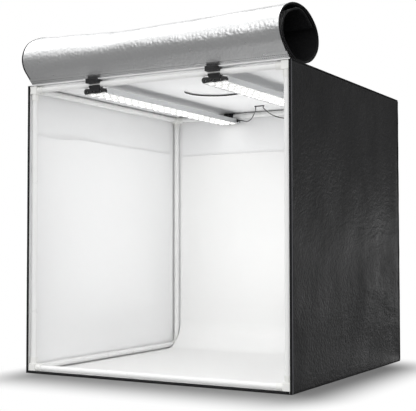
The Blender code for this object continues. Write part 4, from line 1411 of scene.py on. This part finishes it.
class TENT_OT_hatch(TentOperator, bpy.types.Operator):
    """Makes the round hatch in the roof: padded flap, bound edges, hook-and-loop ring and hinge tape."""
    bl_idname = "tent.hatch"
    bl_label = "Roof hatch"

    def execute(self, context):
        settings = context.scene.tent_cloth
        self.make_flap(settings)
        self.make_ring()
        self.make_rim()
        self.make_tape(settings)
        return {"FINISHED"}

    @staticmethod
    def make_round_tape(name, profile, body):
        """Tape with a closed profile of (radius, height) points, laid about the hatch's centre."""
        rings = [[HATCH_CENTRE + Vector((r * c, r * s, z)) for r, z in profile] for c, s in round_about(120)]
        add_hoop(name, rings, "binding", body)

    @staticmethod
    def flap_point(r, c, s, is_top):
        """A point of the flap's cloth, which is crowned on top and pulled down along its stitches."""
        seam, seam_half, pull_deep, crown = RING_HIGH.x - 0.0085, 0.002, 0.0004, 0.0016
        wave_above, wave_below, inset = 0.0005, 0.0002, 0.0002
        x, y = r * c, r * s
        swell = 1 - (r / RING_HIGH.x) ** 2
        if is_top:
            pull = math.exp(-((r - seam) / seam_half) ** 2)
            z = FLAP_HIGH.z - 2 * inset + crown * swell ** 0.6 - pull_deep * pull
            z += wave_above * swell * drift(x * 28, y * 28, 5.5)
        else:
            z = FLAP_LOW.z + inset + wave_below * swell * drift(x * 24, y * 24, 9.1)
        return HATCH_CENTRE + Vector((x, y, z))

    def make_flap(self, settings):
        """A padded disc, crowned on top, with a tape folded round its edge."""
        low, high, edge = FLAP_LOW.z, FLAP_HIGH.z, RING_HIGH.x
        rings, circle = 26, round_about(96)
        count = len(circle)
        points, faces, picks = [], [], []
        for pick in (0, 1):
            for i in range(rings + 1):
                r = (edge - 0.0015) * i / rings
                points += [self.flap_point(r, c, s, pick == 0) for c, s in circle]
            first = len(points) - (rings + 1) * count
            for i in range(first, first + rings * count, count):
                for k in range(count):
                    n = (k + 1) % count
                    faces.append((i + k, i + count + k, i + count + n, i + n))
                    picks.append(pick)
        top, under = rings * count, (2 * rings + 1) * count
        for k in range(count):
            n = (k + 1) % count
            faces.append((top + k, under + k, under + n, top + n))
            picks.append(2)
        flap = add_piece("hatch_flap_cloth", points, faces, ["nylon", "inside", "binding"], None,
                         ["hatch_flap"], picks)
        bm = bmesh.new()
        bm.from_mesh(flap.data)
        bmesh.ops.remove_doubles(bm, verts=bm.verts, dist=SAME_POINT)
        bmesh.ops.recalc_face_normals(bm, faces=bm.faces)
        bm.to_mesh(flap.data)
        bm.free()
        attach(flap, "hatch_flap")
        self.make_round_tape("hatch_flap_binding", [
            (edge - 0.0075, high - 0.0003), (edge - 0.0070, high + 0.0003), (edge - 0.002, high + 0.0003),
            (edge - 0.0004, high - 0.0001), (edge + 0.0002, (low + high) / 2), (edge - 0.0004, low + 0.0001),
            (edge - 0.002, low - 0.00005), (edge - 0.0070, low - 0.00005), (edge - 0.0075, low + 0.0003),
        ], "hatch_flap")
        radius, circle = edge - 0.0052, round_about(160)
        sewn = [
            (HATCH_CENTRE + Vector((radius * c, radius * s, high + 0.0004)), Vector(UP))
            for c, s in [*circle, circle[0]]
        ]
        add_stitches("hatch_flap_stitches", [sewn], settings, "hatch_flap")

    @staticmethod
    def make_ring():
        """The ring of hook tape round the hole, with its rows of hooks."""
        inner, outer = HATCH_D / 2 + 0.001, RING_HIGH.x
        count, across, hook, uneven = 420, 18, 0.00018, 0.0001
        ground = RING_HIGH.z - 0.0003
        rings = []
        for k, (c, s) in enumerate(round_about(count)):
            line = [(inner, RING_LOW.z)]
            for i in range(across + 1):
                r = inner + (outer - inner) * i / across
                rise = hook if (i + k) % 2 and 0 < i < across else 0.0
                sway = uneven * drift(r * 900, 2 * math.pi * k / count * 90, 2.0)
                line.append((r, ground + rise + sway))
            line.append((outer, RING_LOW.z))
            rings.append([HATCH_CENTRE + Vector((r * c, r * s, z)) for r, z in line])
        add_hoop("hatch_hook_ring", rings, "hook", "tent", ["hatch_ring"], smooth=False)

    def make_rim(self):
        """Black tape folded round the edge of the hole, as thin as the cloth allows."""
        edge, low, high = HATCH_D / 2, CUBE - WALL, CUBE
        self.make_round_tape("hatch_hole_binding", [
            (edge + 0.0003, low + 0.0002), (edge - 0.0004, low + 0.0003), (edge - 0.0007, (low + high) / 2),
            (edge - 0.0005, high), (edge - 0.0001, high + 0.00015), (edge + 0.0007, high + 0.0002),
            (edge + 0.0007, high - 0.0002),
        ], "tent")

    @staticmethod
    def make_tape(settings):
        """The sewn hinge tape: from the flap, over its edge and down to the roof."""
        half, hinge = (TAPE_HIGH.x - TAPE_LOW.x) / 2, FLAP_HINGE.y
        top, flat = FLAP_HIGH.z + 0.0005, CUBE + 0.0007
        thick, thread_lift, margin, bend_half = 0.0005, 0.0006, 0.003, 0.003
        line = [
            (hinge - 0.0150, top), (hinge - 0.0090, top), (hinge - 0.0050, top + 0.0001),
            (hinge - 0.0020, top + 0.0001), (hinge + 0.0010, top - 0.0003), (hinge + 0.0022, top - 0.0012),
            (hinge + 0.0030, CUBE + 0.0016), (hinge + 0.0045, CUBE + 0.0009), (TAPE_LOW.y + 0.0060, flat),
            (TAPE_HIGH.y, flat),
        ]
        dense = []
        for (y0, z0), (y1, z1) in zip(line, line[1:]):
            count = max(1, round(math.hypot(y1 - y0, z1 - z0) / 0.0008))
            dense += [(y0 + (y1 - y0) * t / count, z0 + (z1 - z0) * t / count) for t in range(count)]
        dense.append(line[-1])
        widths = steps(-half, half, 0.003)
        upper = [[(x, y, z + thick) for y, z in dense] for x in widths]
        lower = [[(x, y, z) for y, z in dense] for x in widths]
        tape = add_cloth("hatch_hinge_tape", upper, lower, ["binding"], None, ["hatch_tape"])
        lines = [
            straight((-half + margin, y, z + thread_lift), (half - margin, y, z + thread_lift), UP)
            for y, z in (
                (hinge - 0.0128, top), (hinge - 0.0072, top),
                (TAPE_LOW.y + 0.0050, flat), (TAPE_HIGH.y - 0.0022, flat),
            )
        ]
        sewn = add_stitches("hatch_tape_stitches", lines, settings, None)
        for piece in (tape, sewn):
            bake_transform(piece)


class TENT_OT_sheets(TentOperator, bpy.types.Operator):
    """Makes the sweep backdrop with its hook strip, and the two side liners."""
    bl_idname = "tent.sheets"
    bl_label = "Backdrop and liners"

    def execute(self, context):
        self.make_backdrop()
        self.make_strip()
        for side, sign in (("left", -1), ("right", 1)):
            self.make_liner(side, sign)
        return {"FINISHED"}

    @staticmethod
    def make_backdrop():
        """The sheet that lies on the base, turns up at the rear and hangs before the back wall."""
        low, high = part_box("backdrop")
        cell, radius, turns = 0.008, 0.070, 24
        wave_high, sweep_from, strip_from, side_fade = 0.0016, 0.40, 0.93, 0.08
        centre_y, centre_z = high.y - radius, low.z + radius
        line = [(y, low.z + SHEET_T, (0.0, 1.0)) for y in steps(low.y, centre_y, cell)]
        for i in range(1, turns + 1):
            angle = math.radians(-90 + 90 * i / turns)
            c, s = math.cos(angle), math.sin(angle)
            line.append((centre_y + (radius - SHEET_T) * c, centre_z + (radius - SHEET_T) * s, (-c, -s)))
        line += [(high.y - SHEET_T, z, (-1.0, 0.0)) for z in steps(centre_z, high.z, cell)[1:]]

        def swell(x, share):
            """Soft waves in the hanging part and in the sweep, none where it lies on the base."""
            free = eased((share - sweep_from) / 0.12) * (1 - eased((share - strip_from) / 0.07))
            free *= 0.25 + 0.75 * eased(min(x - low.x, high.x - x) / side_fade)
            wave = 0.6 + drift(x * 5, share * 6, 3.3) + 0.3 * drift(x * 16, share * 12, 7.0)
            return wave_high * free * wave

        upper, lower = [], []
        for x in steps(low.x, high.x, cell):
            row = [(y, z, out, swell(x, i / len(line))) for i, (y, z, out) in enumerate(line)]
            for face, inward in ((upper, 0.0), (lower, SHEET_T)):
                face.append([
                    (x, y + out[0] * (lift - inward), z + out[1] * (lift - inward)) for y, z, out, lift in row
                ])
        made = add_cloth("sweep_backdrop", upper, lower, ["sheet"], "tent", ["backdrop"])

    @staticmethod
    def make_strip():
        """The hook tape behind the backdrop's top edge, with its rows of hooks."""
        low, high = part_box("backdrop_strip")
        across, up = steps(low.x, high.x, 0.0015), steps(low.z, high.z, 0.0011)
        hook = 0.00025
        face = [
            [
                (x, low.y + (0.0 if 0 < i < len(up) - 1 and (i + j) % 2 else hook), z)
                for j, x in enumerate(across)
            ]
            for i, z in enumerate(up)
        ]
        back = [[(x, high.y, z) for x in across] for z in up]
        add_cloth("backdrop_hook_strip", face, back, ["hook"], "tent", ["backdrop_strip"],
                  smooth=False)

    @staticmethod
    def make_liner(side, sign):
        """A sheet over the side wall: pressed to it at the edges, standing off a little between them."""
        low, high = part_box(f"liner_{side}")
        dip, dip_share, cell, rows = 0.007, 0.25, 0.007, 70
        stand_off, curl_off = 0.0014, 0.0045
        face = sign * (SIDE - WALL - GAP)
        inner, outer = [], []
        for y in steps(low.y, high.y, cell):
            share = (y - low.y) / (high.y - low.y)
            top = high.z - dip * math.sin(math.pi * min(1.0, share / dip_share)) * (1 - share)
            loose = 0.3 + 0.7 * math.sin(math.pi * min(1.0, share / (2 * dip_share)))
            loose *= eased(min(share, 1 - share) / 0.04)
            near, far = [], []
            for i in range(rows + 1):
                up = i / rows
                z = low.z + (top - low.z) * up
                edge = min(up, 1 - up, share * 1.2, (1 - share) * 1.2)
                stand = stand_off * eased(edge / 0.2) * (0.7 + drift(y * 7, z * 5, 5.0 + sign))
                curl = curl_off * up ** 30 * loose
                x = face - sign * max(0.0, stand + curl)
                far.append((x, y, z))
                near.append((x - sign * SHEET_T, y, z))
            inner.append(near)
            outer.append(far)
        made = add_cloth(f"side_liner_{side}", inner, outer, ["inside"], "tent", [f"liner_{side}"])


OPERATORS = (
    TENT_OT_stage, TENT_OT_leads, TENT_OT_frame,
    TENT_OT_light_bars, TENT_OT_shell, TENT_OT_seams,
    TENT_OT_door, TENT_OT_hatch, TENT_OT_sheets,
)


class TENT_PT_panel(bpy.types.Panel):
    """Lists the light tent's settings and the steps that build it."""
    bl_idname = "TENT_PT_panel"
    bl_label = "Light Tent"
    bl_space_type = "VIEW_3D"
    bl_region_type = "UI"
    bl_category = "Light Tent"

    def draw(self, context):
        for group in (context.scene.tent_cloth, context.scene.tent_frame, context.scene.tent_stage):
            column = self.layout.column(align=True)
            for name in group.__annotations__:
                column.prop(group, name)
        for operator in OPERATORS:
            self.layout.operator(operator.bl_idname)


SETTINGS = {"tent_cloth": TentClothSettings, "tent_frame": TentFrameSettings, "tent_stage": TentStageSettings}


def register():
    for item in (*SETTINGS.values(), *OPERATORS, TENT_PT_panel):
        bpy.utils.register_class(item)
    for name, group in SETTINGS.items():
        setattr(bpy.types.Scene, name, PointerProperty(type=group))


def unregister():
    for name in SETTINGS:
        delattr(bpy.types.Scene, name)
    for item in reversed((*SETTINGS.values(), *OPERATORS, TENT_PT_panel)):
        bpy.utils.unregister_class(item)


def main():
    register()
    for operator in OPERATORS:
        group, name = operator.bl_idname.split(".")
        getattr(getattr(bpy.ops, group), name)()


if __name__ == "__main__":
    main()
